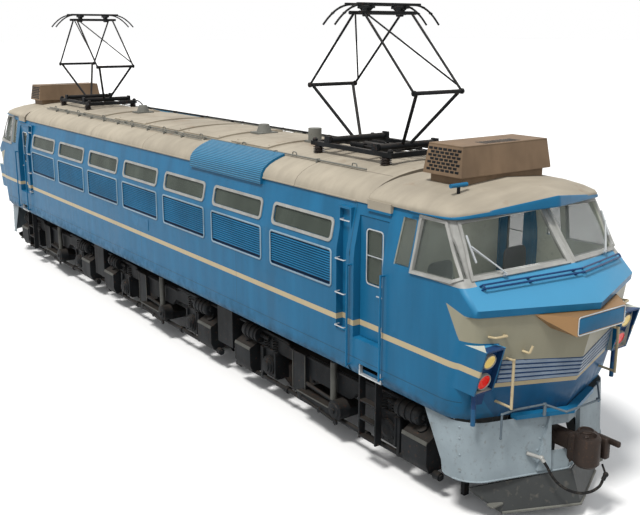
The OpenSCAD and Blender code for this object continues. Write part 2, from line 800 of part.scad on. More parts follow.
// Ladder below each cab door, and the stirrup step in the body's lower edge
step_x = [6430, 6870];
step_top = 1475;
ladder_x = [6375, 6705];
LADDER_RUNGS = [430, 680, 930];
module step_ladders() {
    color(BLACK) for (e = ENDS) rotate([0, 0, e[1]]) both_sides() {
        for (x = ladder_x) translate([x - 12, -1337, 405]) cube([24, 100, body_bottom - 405]);
        for (z = LADDER_RUNGS) translate([ladder_x[0], -1337, z]) cube([ladder_x[1] - ladder_x[0], 90, 22]);
        translate([step_x[0], -1392, 1325]) cube([step_x[1] - step_x[0], 50, 18]);
        for (x = [step_x[0], step_x[1] - 18]) translate([x, -1392, 1325])
            cube([18, 50, step_top - 1325]);
    }
}

frame_y = 1020;
frame_t = 130;
sandbox_x = [1800, 2260];
SANDBOX = [[980, 350], [1190, 350], [1240, 470], [1240, 745], [1225, 765], [1010, 880], [980, 880]];
module bogie_frame(x, iron_ends) {
    color(BLACK) translate([x, 0, 0]) difference() {
        union() {
            both_sides() {
                // side beam, brake rod, tray, hanger plate and damper
                translate([0, -frame_y + frame_t / 2, 0]) rotate([90, 0, 0])
                    linear_extrude(frame_t) polygon([[-2080, 830], [-700, 830], [-560, 700],
                        [560, 700], [700, 830], [2080, 830], [2080, 1050], [-2080, 1050]]);
                translate([-2350, -1105, 330]) rotate([0, 90, 0]) cylinder(d = 70, h = 4750);
                translate([-500, -1240, 385]) cube([960, 500, 130]);
                translate([-730, -1150, 440]) cube([310, 80, 610]);
                translate([270, -1150, 500]) cylinder(d = 90, h = 690);
                translate([420, -1080, 530]) rotate([90, 0, 0]) cylinder(d = 280, h = 140);
                // axleboxes with their covers, sandboxes and brake cylinders
                for (s = [-1, 1]) {
                    translate([s * wheelbase / 2 - 190, -1110, axle_z - 190])
                        cube([380, 210, 440]);
                    translate([s * wheelbase / 2, -1100, axle_z]) rotate([90, 0, 0])
                        cylinder(d = 290, h = 45);
                    translate([(s > 0 ? sandbox_x[0] : -sandbox_x[1]), 0, 0]) rotate([90, 0, 90])
                        linear_extrude(sandbox_x[1] - sandbox_x[0])
                            polygon([for (p = SANDBOX) [-p[0], p[1]]]);
                    translate([s * 1830 - 190, -1120, 1010]) rotate([0, 90, 0])
                        cylinder(d = 240, h = 380);
                }
            }
            for (s = [-1, 1]) translate([s * 2040 - 40, -frame_y, 870]) cube([80, 2 * frame_y, 130]);
            translate([-300, -frame_y, 850]) cube([600, 2 * frame_y, 180]);
            // guard irons in front of the outer wheels
            for (s = iron_ends, y = [-800, 800]) {
                translate([s > 0 ? 2070 : -2530, y - 40, 880]) cube([460, 80, 60]);
                translate([s > 0 ? 2470 : -2530, y - 40, 60]) cube([60, 80, 880]);
            }
        }
        for (s = [-1, 1]) translate([s * wheelbase / 2, 1090, axle_z]) rotate([90, 0, 0])
            cylinder(d = axle_d - 20 + 12, h = 2180);
        translate([0, 0, 800]) cylinder(d = pivot_d + 12, h = 300);
    }
}

module bogie_motors(x) {
    color(STEEL) translate([x, 0, 0]) for (sx = [-1, 1])
        translate([sx * 640, -380, axle_z - 10]) rotate([-90, 0, 0]) cylinder(d = 520, h = 760);
}

module wheelset(x) {
    color(STEEL) translate([x, 0, axle_z]) rotate([90, 0, 0]) rotate_extrude($fn = 96)
        polygon(concat(
            [[0, -1080], [(axle_d - 20) / 2, -1080], [(axle_d - 20) / 2, -700],
             [axle_d / 2, -700], [axle_d / 2, -back_to_back / 2 - wheel_w],
             [wheel_r, -back_to_back / 2 - wheel_w], [wheel_r, -back_to_back / 2 - 32],
             [wheel_r + flange_h, -back_to_back / 2 - 20], [wheel_r + flange_h,
             -back_to_back / 2], [axle_d / 2, -back_to_back / 2]],
            [[axle_d / 2, back_to_back / 2], [wheel_r + flange_h, back_to_back / 2],
             [wheel_r + flange_h, back_to_back / 2 + 20], [wheel_r, back_to_back / 2 + 32],
             [wheel_r, back_to_back / 2 + wheel_w], [axle_d / 2, back_to_back / 2 + wheel_w],
             [axle_d / 2, 700], [(axle_d - 20) / 2, 700], [(axle_d - 20) / 2, 1080],
             [0, 1080]]));
}

// ---------- pantographs ----------

arm_d = 46;
shaft_d = 90;
upper_d = 34;
knee_pin_d = 30;
eye_d = 76;
eye_t = 30;
saddle_y = 300;               // half distance across between the head's saddles

module bar(a, b, d) {
    v = b - a;
    len = norm(v);
    translate(a) rotate([0, acos(v[2] / len), atan2(v[1], v[0])]) cylinder(d = d, h = len);
}

// A round bar across the locomotive at x and z
module cross_bar(x, z, half, d) {
    translate([x, half, z]) rotate([90, 0, 0]) cylinder(d = d, h = 2 * half);
}

module panto_base(x) {
    color(BLACK) translate([x, 0, 0]) {
        difference() {
            for (sx = [-1, 1], sy = [-1, 1]) translate([sx * 750, sy * 540, 3835])
                cylinder(d = 110, h = 165);
            along_x(-1000, 1000)
                polygon(mirrored(roof_outline(gutter_half_w + 19, gutter_z, roof_rise + 1)));
        }
        for (sy = [-1, 1]) translate([-900, sy * 540 - 35, 4000]) cube([1800, 70, 60]);
        for (sx = [-1, 1]) translate([sx * 850 - 30, -506, 4000]) cube([60, 1012, 60]);
        // bearings of the two shafts
        for (sx = [-1, 1], sy = [-1, 1]) difference() {
            translate([sx * shaft_half - 60, sy * 540 - 20, 4059]) cube([120, 40, 95]);
            cross_bar(sx * shaft_half, shaft_z, 700, 52);
        }
    }
}

// Lower arm on side s of the centre: a shaft in two bearings, two tubes that spread to the
// knees, and the cross tube between the knees
module lower_arm(x, s) {
    color(BLACK) translate([x, 0, 0]) {
        cross_bar(s * shaft_half, shaft_z, 480, shaft_d);
        cross_bar(s * shaft_half, shaft_z, 562, 46);
        for (sy = [-1, 1]) bar([s * shaft_half, sy * 60, shaft_z],
            [s * knee_half, sy * (knee_y - 45), knee_z], arm_d);
        cross_bar(s * knee_half, knee_z, knee_y - 24, 54);
        cross_bar(s * knee_half, knee_z, knee_y + 24, knee_pin_d);
    }
}

// Upper arm on side s: eyes on the knee pins, two tubes, a brace from corner to corner and the
// cross tube under the head
module upper_arm(x, s) {
    color(BLACK) translate([x, 0, 0]) {
        for (sy = [-1, 1]) difference() {
            union() {
                translate([s * knee_half, sy * knee_y + eye_t / 2, knee_z]) rotate([90, 0, 0])
                    cylinder(d = eye_d, h = eye_t);
                bar([s * knee_half, sy * knee_y, knee_z], [s * head_half, sy * knee_y, head_z],
                    upper_d);
            }
            cross_bar(s * knee_half, knee_z, 700, knee_pin_d + 2);
        }
        cross_bar(s * head_half, head_z, knee_y + 80, 50);
        bar([s * (knee_half - 70), knee_y, knee_z + 69], [s * head_half, -knee_y + 20, head_z], 24);
    }
}

// Head: two contact strips across with drooping horns, on two saddles over the cross tubes
STRIP = [[0, 0], [560, 0], [700, -60], [830, -160], [bow_half, -265]];
BOW = concat([for (i = [len(STRIP) - 1:-1:1]) [-STRIP[i][0], STRIP[i][1]]],
    [for (i = [1:len(STRIP) - 1]) STRIP[i]]);
bow_t = 28;
module panto_head(x) {
    color(BLACK) translate([x, 0, 0]) {
        for (s = [-1, 1]) translate([s * 128, 0, head_z + 112]) {
            translate([-30, -550, -17]) cube([60, 1100, 35]);
            translate([-bow_t / 2, 0, 0]) rotate([90, 0, 90]) linear_extrude(bow_t)
                polygon(concat([for (p = BOW) [p[0], p[1] + bow_t / 2]],
                    [for (i = [len(BOW) - 1:-1:0]) [BOW[i][0], BOW[i][1] - bow_t / 2]]));
        }
        for (sy = [-1, 1]) translate([-160, sy * saddle_y - 20, head_z + 60]) cube([320, 40, 36]);
    }
}

// ---------- the nodes ----------

machine_room_body();
machine_room_roof();
roof_louvres();
window_frames();
machine_room_windows();
side_grilles();
machinery();
underframe();
equipment_boxes();
roof_ventilators();
roof_fittings();
at_end("front") cab_shell();  // front_cab_shell
at_end("rear") cab_shell();  // rear_cab_shell
cab_roofs();
cab_windows();
cab_desks();
driver_seats();
air_conditioners();
lamps();
number_boxes();
end_handrails();
side_handrails();
footplates();
step_ladders();
skirts();
couplers();
pilot_boards();
brake_cocks();
at_end("front") brake_hose();  // front_brake_hose
at_end("rear") brake_hose();  // rear_brake_hose
mirror([0, 1, 0]) cab_door();  // front_left_door
cab_door();  // front_right_door
at_end("rear") cab_door();  // rear_left_door
at_end("rear") mirror([0, 1, 0]) cab_door();  // rear_right_door
bogie_frame(BOGIES[0][1], [1]);  // front_bogie_frame
bogie_frame(BOGIES[1][1], []);  // middle_bogie_frame
bogie_frame(BOGIES[2][1], [-1]);  // rear_bogie_frame
bogie_motors(BOGIES[0][1]);  // front_bogie_motors
bogie_motors(BOGIES[1][1]);  // middle_bogie_motors
bogie_motors(BOGIES[2][1]);  // rear_bogie_motors
wheelset(AXLES[0]);  // wheelset_1
wheelset(AXLES[1]);  // wheelset_2
wheelset(AXLES[2]);  // wheelset_3
wheelset(AXLES[3]);  // wheelset_4
wheelset(AXLES[4]);  // wheelset_5
wheelset(AXLES[5]);  // wheelset_6
panto_base(panto_x);  // front_panto_base
lower_arm(panto_x, 1);  // front_panto_front_lower_arm
lower_arm(panto_x, -1);  // front_panto_rear_lower_arm
upper_arm(panto_x, 1);  // front_panto_front_upper_arm
upper_arm(panto_x, -1);  // front_panto_rear_upper_arm
panto_head(panto_x);  // front_panto_head
panto_base(-panto_x);  // rear_panto_base
lower_arm(-panto_x, 1);  // rear_panto_front_lower_arm
lower_arm(-panto_x, -1);  // rear_panto_rear_lower_arm
upper_arm(-panto_x, 1);  // rear_panto_front_upper_arm
upper_arm(-panto_x, -1);  // rear_panto_rear_upper_arm
panto_head(-panto_x);  // rear_panto_head
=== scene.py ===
"""Looks of the six-axle electric locomotive.

Metres, X along the locomotive with the front cab at +X, Z up. Whatever stands at one end stands at the
other too, turned half a turn about Z, so patterns on the body read the sizes of X and Y.
"""

import json
import math

import bmesh
import bpy
import numpy as np
from mathutils import Euler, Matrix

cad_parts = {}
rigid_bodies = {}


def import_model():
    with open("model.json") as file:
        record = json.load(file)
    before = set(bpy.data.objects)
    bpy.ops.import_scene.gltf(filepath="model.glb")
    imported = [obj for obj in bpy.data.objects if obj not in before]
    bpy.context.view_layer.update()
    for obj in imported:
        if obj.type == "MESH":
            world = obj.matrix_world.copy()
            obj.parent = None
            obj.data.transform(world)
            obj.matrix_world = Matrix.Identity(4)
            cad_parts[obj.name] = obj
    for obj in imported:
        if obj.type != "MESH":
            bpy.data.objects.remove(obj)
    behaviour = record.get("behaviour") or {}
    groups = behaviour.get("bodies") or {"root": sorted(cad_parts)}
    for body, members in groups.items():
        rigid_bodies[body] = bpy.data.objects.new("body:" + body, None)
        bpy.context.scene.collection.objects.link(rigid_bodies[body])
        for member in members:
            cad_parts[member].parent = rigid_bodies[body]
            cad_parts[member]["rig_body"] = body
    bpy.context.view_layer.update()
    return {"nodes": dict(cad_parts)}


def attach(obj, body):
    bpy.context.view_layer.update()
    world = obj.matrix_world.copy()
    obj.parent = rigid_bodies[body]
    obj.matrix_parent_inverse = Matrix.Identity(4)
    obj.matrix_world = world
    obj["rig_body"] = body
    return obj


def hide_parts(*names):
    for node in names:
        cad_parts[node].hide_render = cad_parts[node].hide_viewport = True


bl_info = {
    "name": "Electric Locomotive Looks",
    "version": (1, 0, 0),
    "blender": (4, 5, 0),
    "location": "3D View > Sidebar > Locomotive",
    "description": "Skins, trim and finishes for the six-axle electric locomotive",
    "category": "Object",
}

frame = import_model()
NODES = frame["nodes"]
UP = np.array([0.0, 0.0, 1.0])
BOGIE_X = {"front": 5.31, "middle": 0.0, "rear": -5.31}
HALF_WHEELBASE = 1.4
AXLE_Z = 0.59
WINDOW_PITCH = 1.7056
SEATS = {"driver": -0.72, "mate": 0.62}
CAB_FLOOR_Z = 1.801
DOOR_WINDOW = (6.598, 2.885)
PANTO_X = {"front": 5.133, "rear": -5.133}
ENDS = {"front": 1, "rear": -1}


# ---------- sizes and colours a user may change ----------


def srgb(r, g, b):
    """Linear colour of an sRGB colour given in 255ths."""
    part = np.array([r, g, b]) / 255
    return tuple(np.where(part <= 0.04045, part / 12.92, ((part + 0.055) / 1.055) ** 2.4).tolist())


def colour(name, description, r, g, b):
    """A colour property with its default in 255ths."""
    return bpy.props.FloatVectorProperty(
        name=name, description=description, default=srgb(r, g, b), subtype="COLOR", size=3, min=0, max=1
    )


def size(name, description, default):
    """A length property in metres."""
    return bpy.props.FloatProperty(name=name, description=description, default=default, unit="LENGTH")


class LocoPaint(bpy.types.PropertyGroup):
    """Colours of the finishes."""

    side: colour("Body blue", "Paint of the sides, noses and doors", 26, 99, 138)
    # A lighter copy of the body blue: painted light on the nose's upward faces and on the louvres' tops
    lit_blue: colour("Lit blue", "Body blue where it faces up", 74, 144, 182)
    # Painted shade: the stripe's cream made darker and greyer for the nose panel, which faces away from the light
    nose: colour("Nose cream", "Cream of the nose panel", 156, 152, 132)
    frames: colour("Frames", "Bars and pillars round the windscreens", 158, 158, 154)
    # Painted shade: navy for the lower nose, the lamp pods and the band between the nose strips; the hood grab
    # rails also take it
    shade: colour("Deep blue", "Inside of the lamp pods and between the nose strips", 24, 60, 104)
    cream: colour("Cream", "Stripe, nose panel and handrails", 190, 174, 140)
    roof: colour("Roof", "Paint of the roofs", 166, 157, 141)
    aircon: colour("Air conditioner", "Sheet metal of the roof boxes", 122, 102, 82)
    skirt: colour("Skirt", "Paint of the skirts", 142, 154, 160)
    black: colour("Running gear", "Paint of the bogies and underframe", 24, 26, 28)
    dust: colour("Dust", "Brake dust on the running gear", 66, 60, 54)
    steel: colour("Steel", "Wheels and strips", 150, 152, 152)
    bronze: colour("Bronze", "Number box", 112, 78, 44)
    inside: colour("Cab inside", "Paint inside the cabs", 196, 198, 186)
    seat: colour("Seat cloth", "Cover of the seats", 34, 35, 40)
    red: colour("Red lens", "Tail lamps", 214, 24, 16)
    yellow: colour("Yellow lens", "Head lamps", 226, 196, 112)


class LocoSizes(bpy.types.PropertyGroup):
    """Heights and widths of the trim."""

    stripe_low: size("Stripe foot", "Height of the lower edge of the cream stripe", 1.947)
    stripe_high: size("Stripe top", "Height of the upper edge of the cream stripe", 2.022)
    seam: size("Sill seam", "Height of the seam along the sill", 1.534)
    strip_proud: size("Strip depth", "How far the nose strips stand off the nose", 0.012)
    screen_bar: size("Screen bar", "Width of the bars round the windscreens", 0.042)
    slat_pitch: size("Slat pitch", "Spacing of the grilles' slats", 0.034)


def paint():
    return bpy.context.scene.loco_paint


def sizes():
    return bpy.context.scene.loco_sizes


# ---------- shader maths ----------


class Num:
    """A number that varies over a surface, with Python's operators as Math nodes."""

    def __init__(self, finish, socket):
        self.finish, self.socket = finish, socket

    def _math(self, operation, *others):
        values = [self.socket, *(o.socket if isinstance(o, Num) else o for o in others)]
        node = self.finish.node("ShaderNodeMath", {"operation": operation}, dict(enumerate(values)))
        return Num(self.finish, node.outputs[0])

    def __add__(self, other):
        return self._math("ADD", other)

    def __radd__(self, other):
        return self._math("ADD", other)

    def __sub__(self, other):
        return self._math("SUBTRACT", other)

    def __rsub__(self, other):
        return (self * -1.0)._math("ADD", other)

    def __mul__(self, other):
        return self._math("MULTIPLY", other)

    def __rmul__(self, other):
        return self._math("MULTIPLY", other)

    def __truediv__(self, other):
        return self._math("DIVIDE", other)

    def __gt__(self, other):
        return self._math("GREATER_THAN", other)

    def __lt__(self, other):
        return self._math("LESS_THAN", other)

    def size(self):
        return self._math("ABSOLUTE")

    def either(self, other):
        return self._math("MAXIMUM", other)

    def ping(self, length):
        return self._math("PINGPONG", length)

    def ramp(self, low, high):
        """0 at low, 1 at high, straight between and held outside."""
        node = self.finish.node(
            "ShaderNodeMapRange", {"clamp": True}, {0: self.socket, 1: low, 2: high, 3: 0.0, 4: 1.0}
        )
        return Num(self.finish, node.outputs[0])

    def inside(self, low, high):
        """1 between low and high, 0 elsewhere."""
        return (self > low) * (self < high)


# How strongly paint mirrors, against 0.5 for bare plastic: a photo studio's walls are darker than its backdrop
SHEEN = 0.14


class Finish:
    """One material: a Principled shader and the nodes that feed it."""

    def __init__(self, name):
        self.material = bpy.data.materials.new(name)
        self.material.use_nodes = True
        self.tree = self.material.node_tree
        self.shader = self.tree.nodes["Principled BSDF"]
        self.shader.inputs["Specular IOR Level"].default_value = SHEEN
        place = self.node("ShaderNodeTexCoord", {}, {}).outputs["Object"]
        self.place = place
        xyz = self.node("ShaderNodeSeparateXYZ", {}, {0: place})
        self.x, self.y, self.z = (Num(self, xyz.outputs[i]) for i in range(3))

    def node(self, kind, settings, inputs):
        """A node of that kind, with its settings and then the values or links of its sockets."""
        made = self.tree.nodes.new(kind)
        for key, value in settings.items():
            setattr(made, key, value)
        for key, value in inputs.items():
            if isinstance(value, Num):
                value = value.socket
            if isinstance(value, bpy.types.NodeSocket):
                self.tree.links.new(value, made.inputs[key])
            else:
                made.inputs[key].default_value = value
        return made

    def facing_up(self):
        """The upward part of the surface's direction."""
        normal = self.node("ShaderNodeNewGeometry", {}, {}).outputs["Normal"]
        return Num(self, self.node("ShaderNodeSeparateXYZ", {}, {0: normal}).outputs[2])

    def noise(self, scale, detail=3.0, stretch=(1, 1, 1)):
        """Noise on Object coordinates, drawn out along the axes with a small stretch value."""
        at = self.node("ShaderNodeVectorMath", {"operation": "MULTIPLY"}, {0: self.place, 1: stretch})
        made = self.node(
            "ShaderNodeTexNoise", {}, {"Vector": at.outputs[0], "Scale": scale, "Detail": detail}
        )
        return Num(self, made.outputs["Fac"])

    def mix(self, share, first, second):
        """A colour between two, by a share from 0 to 1."""
        made = self.node(
            "ShaderNodeMix",
            {"data_type": "RGBA"},
            {0: share, 6: self._colour(first), 7: self._colour(second)},
        )
        return made.outputs[2]

    def _colour(self, value):
        return value if isinstance(value, bpy.types.NodeSocket) else (*value, 1.0)

    def set(self, **sockets):
        """Sets or links sockets of the shader, with _ for a space in their names."""
        for key, value in sockets.items():
            socket = self.shader.inputs[key.replace("_", " ")]
            if isinstance(value, Num):
                value = value.socket
            if isinstance(value, bpy.types.NodeSocket):
                self.tree.links.new(value, socket)
            elif isinstance(value, tuple):
                socket.default_value = (*value, 1.0)
            else:
                socket.default_value = value
        return self

    def bump(self, height, strength, distance):
        """Raises the surface by a height from 0 to 1 times a distance in metres."""
        made = self.node(
            "ShaderNodeBump", {}, {"Height": height, "Strength": strength, "Distance": distance}
        )
        self.set(Normal=made.outputs[0])
        return self


def scaled(rgb, factor):
    return tuple(min(1.0, c * factor) for c in rgb)


def body_paint(name):
    """Blue with the cream stripe and nose panel, silver windscreen surrounds, seams, streaks and a dusty
    sill; painted light on the nose's upward faces, and painted shade on the lower nose, lamp pods, strip band and
    nose cream."""
    f, p, s = Finish(name), paint(), sizes()
    ax, ay, z = f.x.size(), f.y.size(), f.z
    streak = f.noise(2.2, 4.0, (1.6, 1.6, 0.22))
    fleck = f.noise(9.0, 5.0)
    blue = f.mix(streak.ramp(0.35, 0.7), scaled(p.side, 0.86), scaled(p.side, 1.1))
    blue = f.mix(fleck.ramp(0.62, 0.8) * 0.25, blue, scaled(p.side, 0.6))
    # Painted light: the nose's upward faces take the lighter blue
    blue = f.mix(f.facing_up().ramp(0.1, 0.75) * (ax > 7.5) * 0.85, blue, tuple(p.lit_blue))
    # Painted shade: the nose below 1.705 m is darkened towards the deep blue
    shaded_low_nose = (z < 1.705) * (ax > 8.3)
    blue = f.mix(shaded_low_nose * 0.45, blue, tuple(p.shade))
    cream = f.mix(streak.ramp(0.3, 0.75) * 0.5, tuple(p.cream), scaled(p.cream, 0.8))
    stripe = z.inside(s.stripe_low, s.stripe_high) * (ay > 1.2)
    front = ax > (7.97 + (2.674 - z) * 0.58)
    under_lip = z < (2.602 + (8.25 - ax).ramp(0.0, 0.3) * 0.085)
    over_pods = z > (1.986 + ay * 0.0755 + (ay > 1.05) * 0.21)
    panel = front * under_lip * over_pods * (z > 1.99)
    foot = z.inside(1.6, 1.9) * (z > (1.68 + ay * 0.03)) * (z < (1.735 + ay * 0.03)) * (ay < 1.0) * (ax > 8.3)
    # Painted shade: the band between the nose strips and the lamp pods take the deep blue
    between = (z > (1.735 + ay * 0.03)) * (z < (1.986 + ay * 0.0755)) * (ay < 1.0) * (ax > 8.3)
    pod = ay.inside(1.09, 1.349) * z.inside(1.5, 2.29) * (ax > (8.30 + (z - 1.71) * 0.277))
    screen = (
        (ax > 7.35) * z.inside(2.88, 3.62) * (z > (3.05 - ay * 0.083 - (ay > 1.22) * 0.045))
    )
    base = f.mix(stripe.either(foot), blue, cream)
    # Painted shade: the nose panel takes the darker nose cream
    base = f.mix(panel, base, f.mix(streak.ramp(0.3, 0.75) * 0.6, tuple(p.nose), scaled(p.nose, 0.78)))
    base = f.mix(between.either(pod), base, tuple(p.shade))
    base = f.mix(screen, base, f.mix(fleck.ramp(0.4, 0.7) * 0.5, tuple(p.frames), scaled(p.frames, 0.6)))
    side_seam = (ax.ping(WINDOW_PITCH) < 0.004) * z.inside(1.54, 2.36) * (ax < 6.2)
    seam = ((z - s.seam).size() < 0.005) * (ay > 1.3)
    joint = ((ax - 6.22).size() < 0.005).either(seam).either(side_seam)
    base = f.mix(joint * 0.55, base, (0.01, 0.02, 0.03))
    dusty = (1.0 - z.ramp(1.3, 1.62)) * fleck.ramp(0.35, 0.65)
    base = f.mix(dusty * 0.4, base, tuple(p.dust))
    grime = f.noise(1.1, 6.0, (1.0, 1.0, 0.5)).ramp(0.58, 0.8) * 0.18
    base = f.mix(grime, base, (0.10, 0.10, 0.10))
    f.set(Base_Color=base, Roughness=0.3 + fleck * 0.16 + dusty * 0.3, Coat_Weight=0.04, Coat_Roughness=0.12)
    wave = f.noise(1.3, 1.0)
    return f.bump(wave + joint * -0.6, 0.35, 0.008).material


def louvre_paint(name):
    """Blue louvres: long ridges along X, with a painted highlight on each top and painted shade in each gap, for
    every step of z - 0.62 |y|.
    """
    f, p = Finish(name), paint()
    step = 0.017
    ridge = ((f.z - f.y.size() * 0.62).ping(step) * (1 / step)).ramp(0.15, 0.85)
    fleck = f.noise(9.0, 5.0)
    # Painted highlight on the ridge tops and painted shade in the gaps between them
    base = f.mix(ridge, scaled(p.side, 0.45), scaled(p.lit_blue, 0.85))
    base = f.mix(fleck.ramp(0.5, 0.8) * 0.3, base, scaled(p.side, 0.8))
    f.set(Base_Color=base, Roughness=0.3 + fleck * 0.2)
    return f.bump(ridge, 0.5, 0.01).material


def roof_paint(name):
    """Beige roof paint with soot drawn out along the roof, rain marks, seams and the visor's blue band."""
    f, p = Finish(name), paint()
    ax, ay, z = f.x.size(), f.y.size(), f.z
    soot = f.noise(0.9, 6.0, (0.5, 1.2, 1.0))
    rain = f.noise(5.0, 5.0, (1.4, 0.25, 1.0))
    grain = f.noise(60.0, 2.0)
    base = f.mix(rain.ramp(0.35, 0.7), scaled(p.roof, 0.9), scaled(p.roof, 1.08))
    base = f.mix(soot.ramp(0.45, 0.8) * 0.45, base, scaled(p.roof, 0.45))
    rust = f.noise(3.0, 8.0).ramp(0.62, 0.75) * (ay < 1.0)
    base = f.mix(rust * 0.5, base, srgb(120, 84, 56))
    centre = (1.0 - ay.ramp(0.2, 0.75)) * f.noise(2.4, 6.0).ramp(0.35, 0.65)
    base = f.mix(centre * 0.35 * (ax < 6.4), base, srgb(112, 98, 84))
    seam = ((ay - 0.86).size() < 0.006) * (ax < 6.4)
    seam = seam.either((ax.ping(1.21) < 0.006) * (ax < 6.4)).either((ax - 6.461).size() < 0.006)
    base = f.mix(seam * 0.6, base, srgb(60, 52, 46))
    visor = (z < (3.575 + (1.0 - ay / 1.27).ramp(0.0, 1.0) * 0.165)) * (ax > 7.2)
    gutter = (z < 3.5) * (ax > 6.46)
    blue = f.mix(rain.ramp(0.3, 0.7), scaled(p.side, 0.95), scaled(p.side, 1.15))
    base = f.mix(visor.either(gutter), base, blue)
    f.set(Base_Color=base, Roughness=0.55 + rain * 0.2 - visor * 0.35)
    return f.bump(grain * 0.2 + rain * 0.4 - seam, 0.4, 0.006).material


def worn_paint(name, rgb, edge=None, rough=0.5, metal=0.0, scale=1.0, coat=0.0):
    """One paint with cloudy tone, flecks and bare or dusty wear."""
    f = Finish(name)
    cloud, fleck = f.noise(1.7 * scale, 5.0), f.noise(14.0 * scale, 5.0)
    base = f.mix(cloud.ramp(0.3, 0.7), scaled(rgb, 0.82), scaled(rgb, 1.15))
    base = f.mix(fleck.ramp(0.58, 0.78) * 0.5, base, tuple(edge or scaled(rgb, 0.55)))
    f.set(Base_Color=base, Roughness=rough + fleck * 0.2 - 0.1, Metallic=metal, Coat_Weight=coat)
    return f.bump(fleck, 0.25, 0.003).material


def black_iron(name):
    """Black running gear: dust on what faces up, oil streaks, rust flecks."""
    f, p = Finish(name), paint()
    cloud, fleck, streak = f.noise(2.4, 6.0), f.noise(22.0, 5.0), f.noise(6.0, 3.0, (1, 1, 0.2))
    up = f.facing_up()
    base = f.mix(cloud.ramp(0.35, 0.7), scaled(p.black, 0.7), scaled(p.black, 1.7))
    base = f.mix(up.ramp(0.3, 0.95) * (0.25 + cloud.ramp(0.3, 0.7) * 0.4), base, tuple(p.dust))
    base = f.mix(fleck.ramp(0.6, 0.74) * 0.4, base, srgb(92, 60, 42))
    f.set(Base_Color=base, Roughness=0.42 + streak * 0.3, Metallic=0.25)
    return f.bump(fleck * 0.5 + cloud, 0.3, 0.004).material


def wheel_steel(name):
    """Dark wheels with a polished tread and flange."""
    f, p = Finish(name), paint()
    cloud, fleck = f.noise(3.0, 5.0), f.noise(30.0, 4.0)
    across = f.y.size()
    tread = across.inside(0.494, 0.621)
    base = f.mix(cloud.ramp(0.3, 0.7), scaled(p.black, 1.1), scaled(p.dust, 0.9))
    base = f.mix(fleck.ramp(0.5, 0.7) * 0.4, base, srgb(96, 66, 46))
    bright = tread * (across < 0.615)
    base = f.mix(bright * 0.55, base, tuple(p.steel))
    f.set(Base_Color=base, Roughness=0.5 - bright * 0.2 + fleck * 0.15, Metallic=0.35 + bright * 0.5)
    return f.bump(fleck, 0.2, 0.002).material


def aircon_metal(name):
    """Tan sheet metal with rain streaks and darker seams."""
    f, p = Finish(name), paint()
    cloud, rain = f.noise(2.0, 5.0), f.noise(7.0, 4.0, (1.0, 1.0, 0.15))
    base = f.mix(cloud.ramp(0.3, 0.75), scaled(p.aircon, 0.78), scaled(p.aircon, 1.2))
    base = f.mix(rain.ramp(0.5, 0.75) * 0.35, base, scaled(p.aircon, 0.5))
    seam = (f.z - 4.3).size() < 0.004
    base = f.mix(seam * 0.6, base, scaled(p.aircon, 0.3))
    f.set(Base_Color=base, Roughness=0.5 + cloud * 0.2)
    return f.bump(cloud - seam, 0.3, 0.004).material


def clear_glass(name, rgb, share):
    """Tinted glass: a see-through sheet that mirrors more at a slant, a little dusty at its edges."""
    f = Finish(name)
    slant = Num(f, f.node("ShaderNodeFresnel", {}, {"IOR": 1.5}).outputs[0])
    smear = f.noise(3.0, 4.0, (1.0, 1.0, 0.4))
    alpha = share + slant * 0.5 + smear.ramp(0.45, 0.8) * 0.03
    base = f.mix(smear.ramp(0.4, 0.8), tuple(rgb), scaled(rgb, 1.5))
    f.set(Base_Color=base, Roughness=0.04 + smear * 0.05, Alpha=alpha)
    return f.material


def lens(name, rgb):
    """Moulded lamp glass with ribs and a faint glow: a painted highlight standing for the reflector behind it."""
    f = Finish(name)
    ribs = (f.y.ping(0.008) * 125.0).ramp(0.1, 0.9)
    base = f.mix(ribs, scaled(rgb, 0.75), scaled(rgb, 1.15))
    # The emission is a painted highlight from the reflector, not a lit lamp
    f.set(Base_Color=base, Roughness=0.08 + ribs * 0.1, Coat_Weight=0.8, Emission_Color=base)
    f.shader.inputs["Emission Strength"].default_value = 0.35
    return f.bump(ribs, 0.3, 0.002).material


def cloth(name, rgb):
    """Woven seat cloth with sheen."""
    f = Finish(name)
    weave = (f.x.ping(0.004) * 250.0) * (f.z.ping(0.004) * 250.0)
    worn = f.noise(6.0, 4.0)
    base = f.mix(weave.ramp(0.1, 0.8), scaled(rgb, 0.75), scaled(rgb, 1.3))
    base = f.mix(worn.ramp(0.5, 0.8) * 0.3, base, scaled(rgb, 2.2))
    f.set(Base_Color=base, Roughness=0.85 + worn * 0.1)
    f.shader.inputs["Sheen Weight"].default_value = 0.3
    return f.bump(weave, 0.3, 0.001).material


def rubber(name):
    """Black ribbed hose rubber, dusty on its high places."""
    f = Finish(name)
    dust, rib = f.noise(30.0, 4.0), f.noise(120.0, 2.0)
    base = f.mix(dust.ramp(0.45, 0.75), srgb(22, 22, 23), srgb(64, 60, 55))
    f.set(Base_Color=base, Roughness=0.6 + dust * 0.25)
    return f.bump(rib, 0.3, 0.001).material


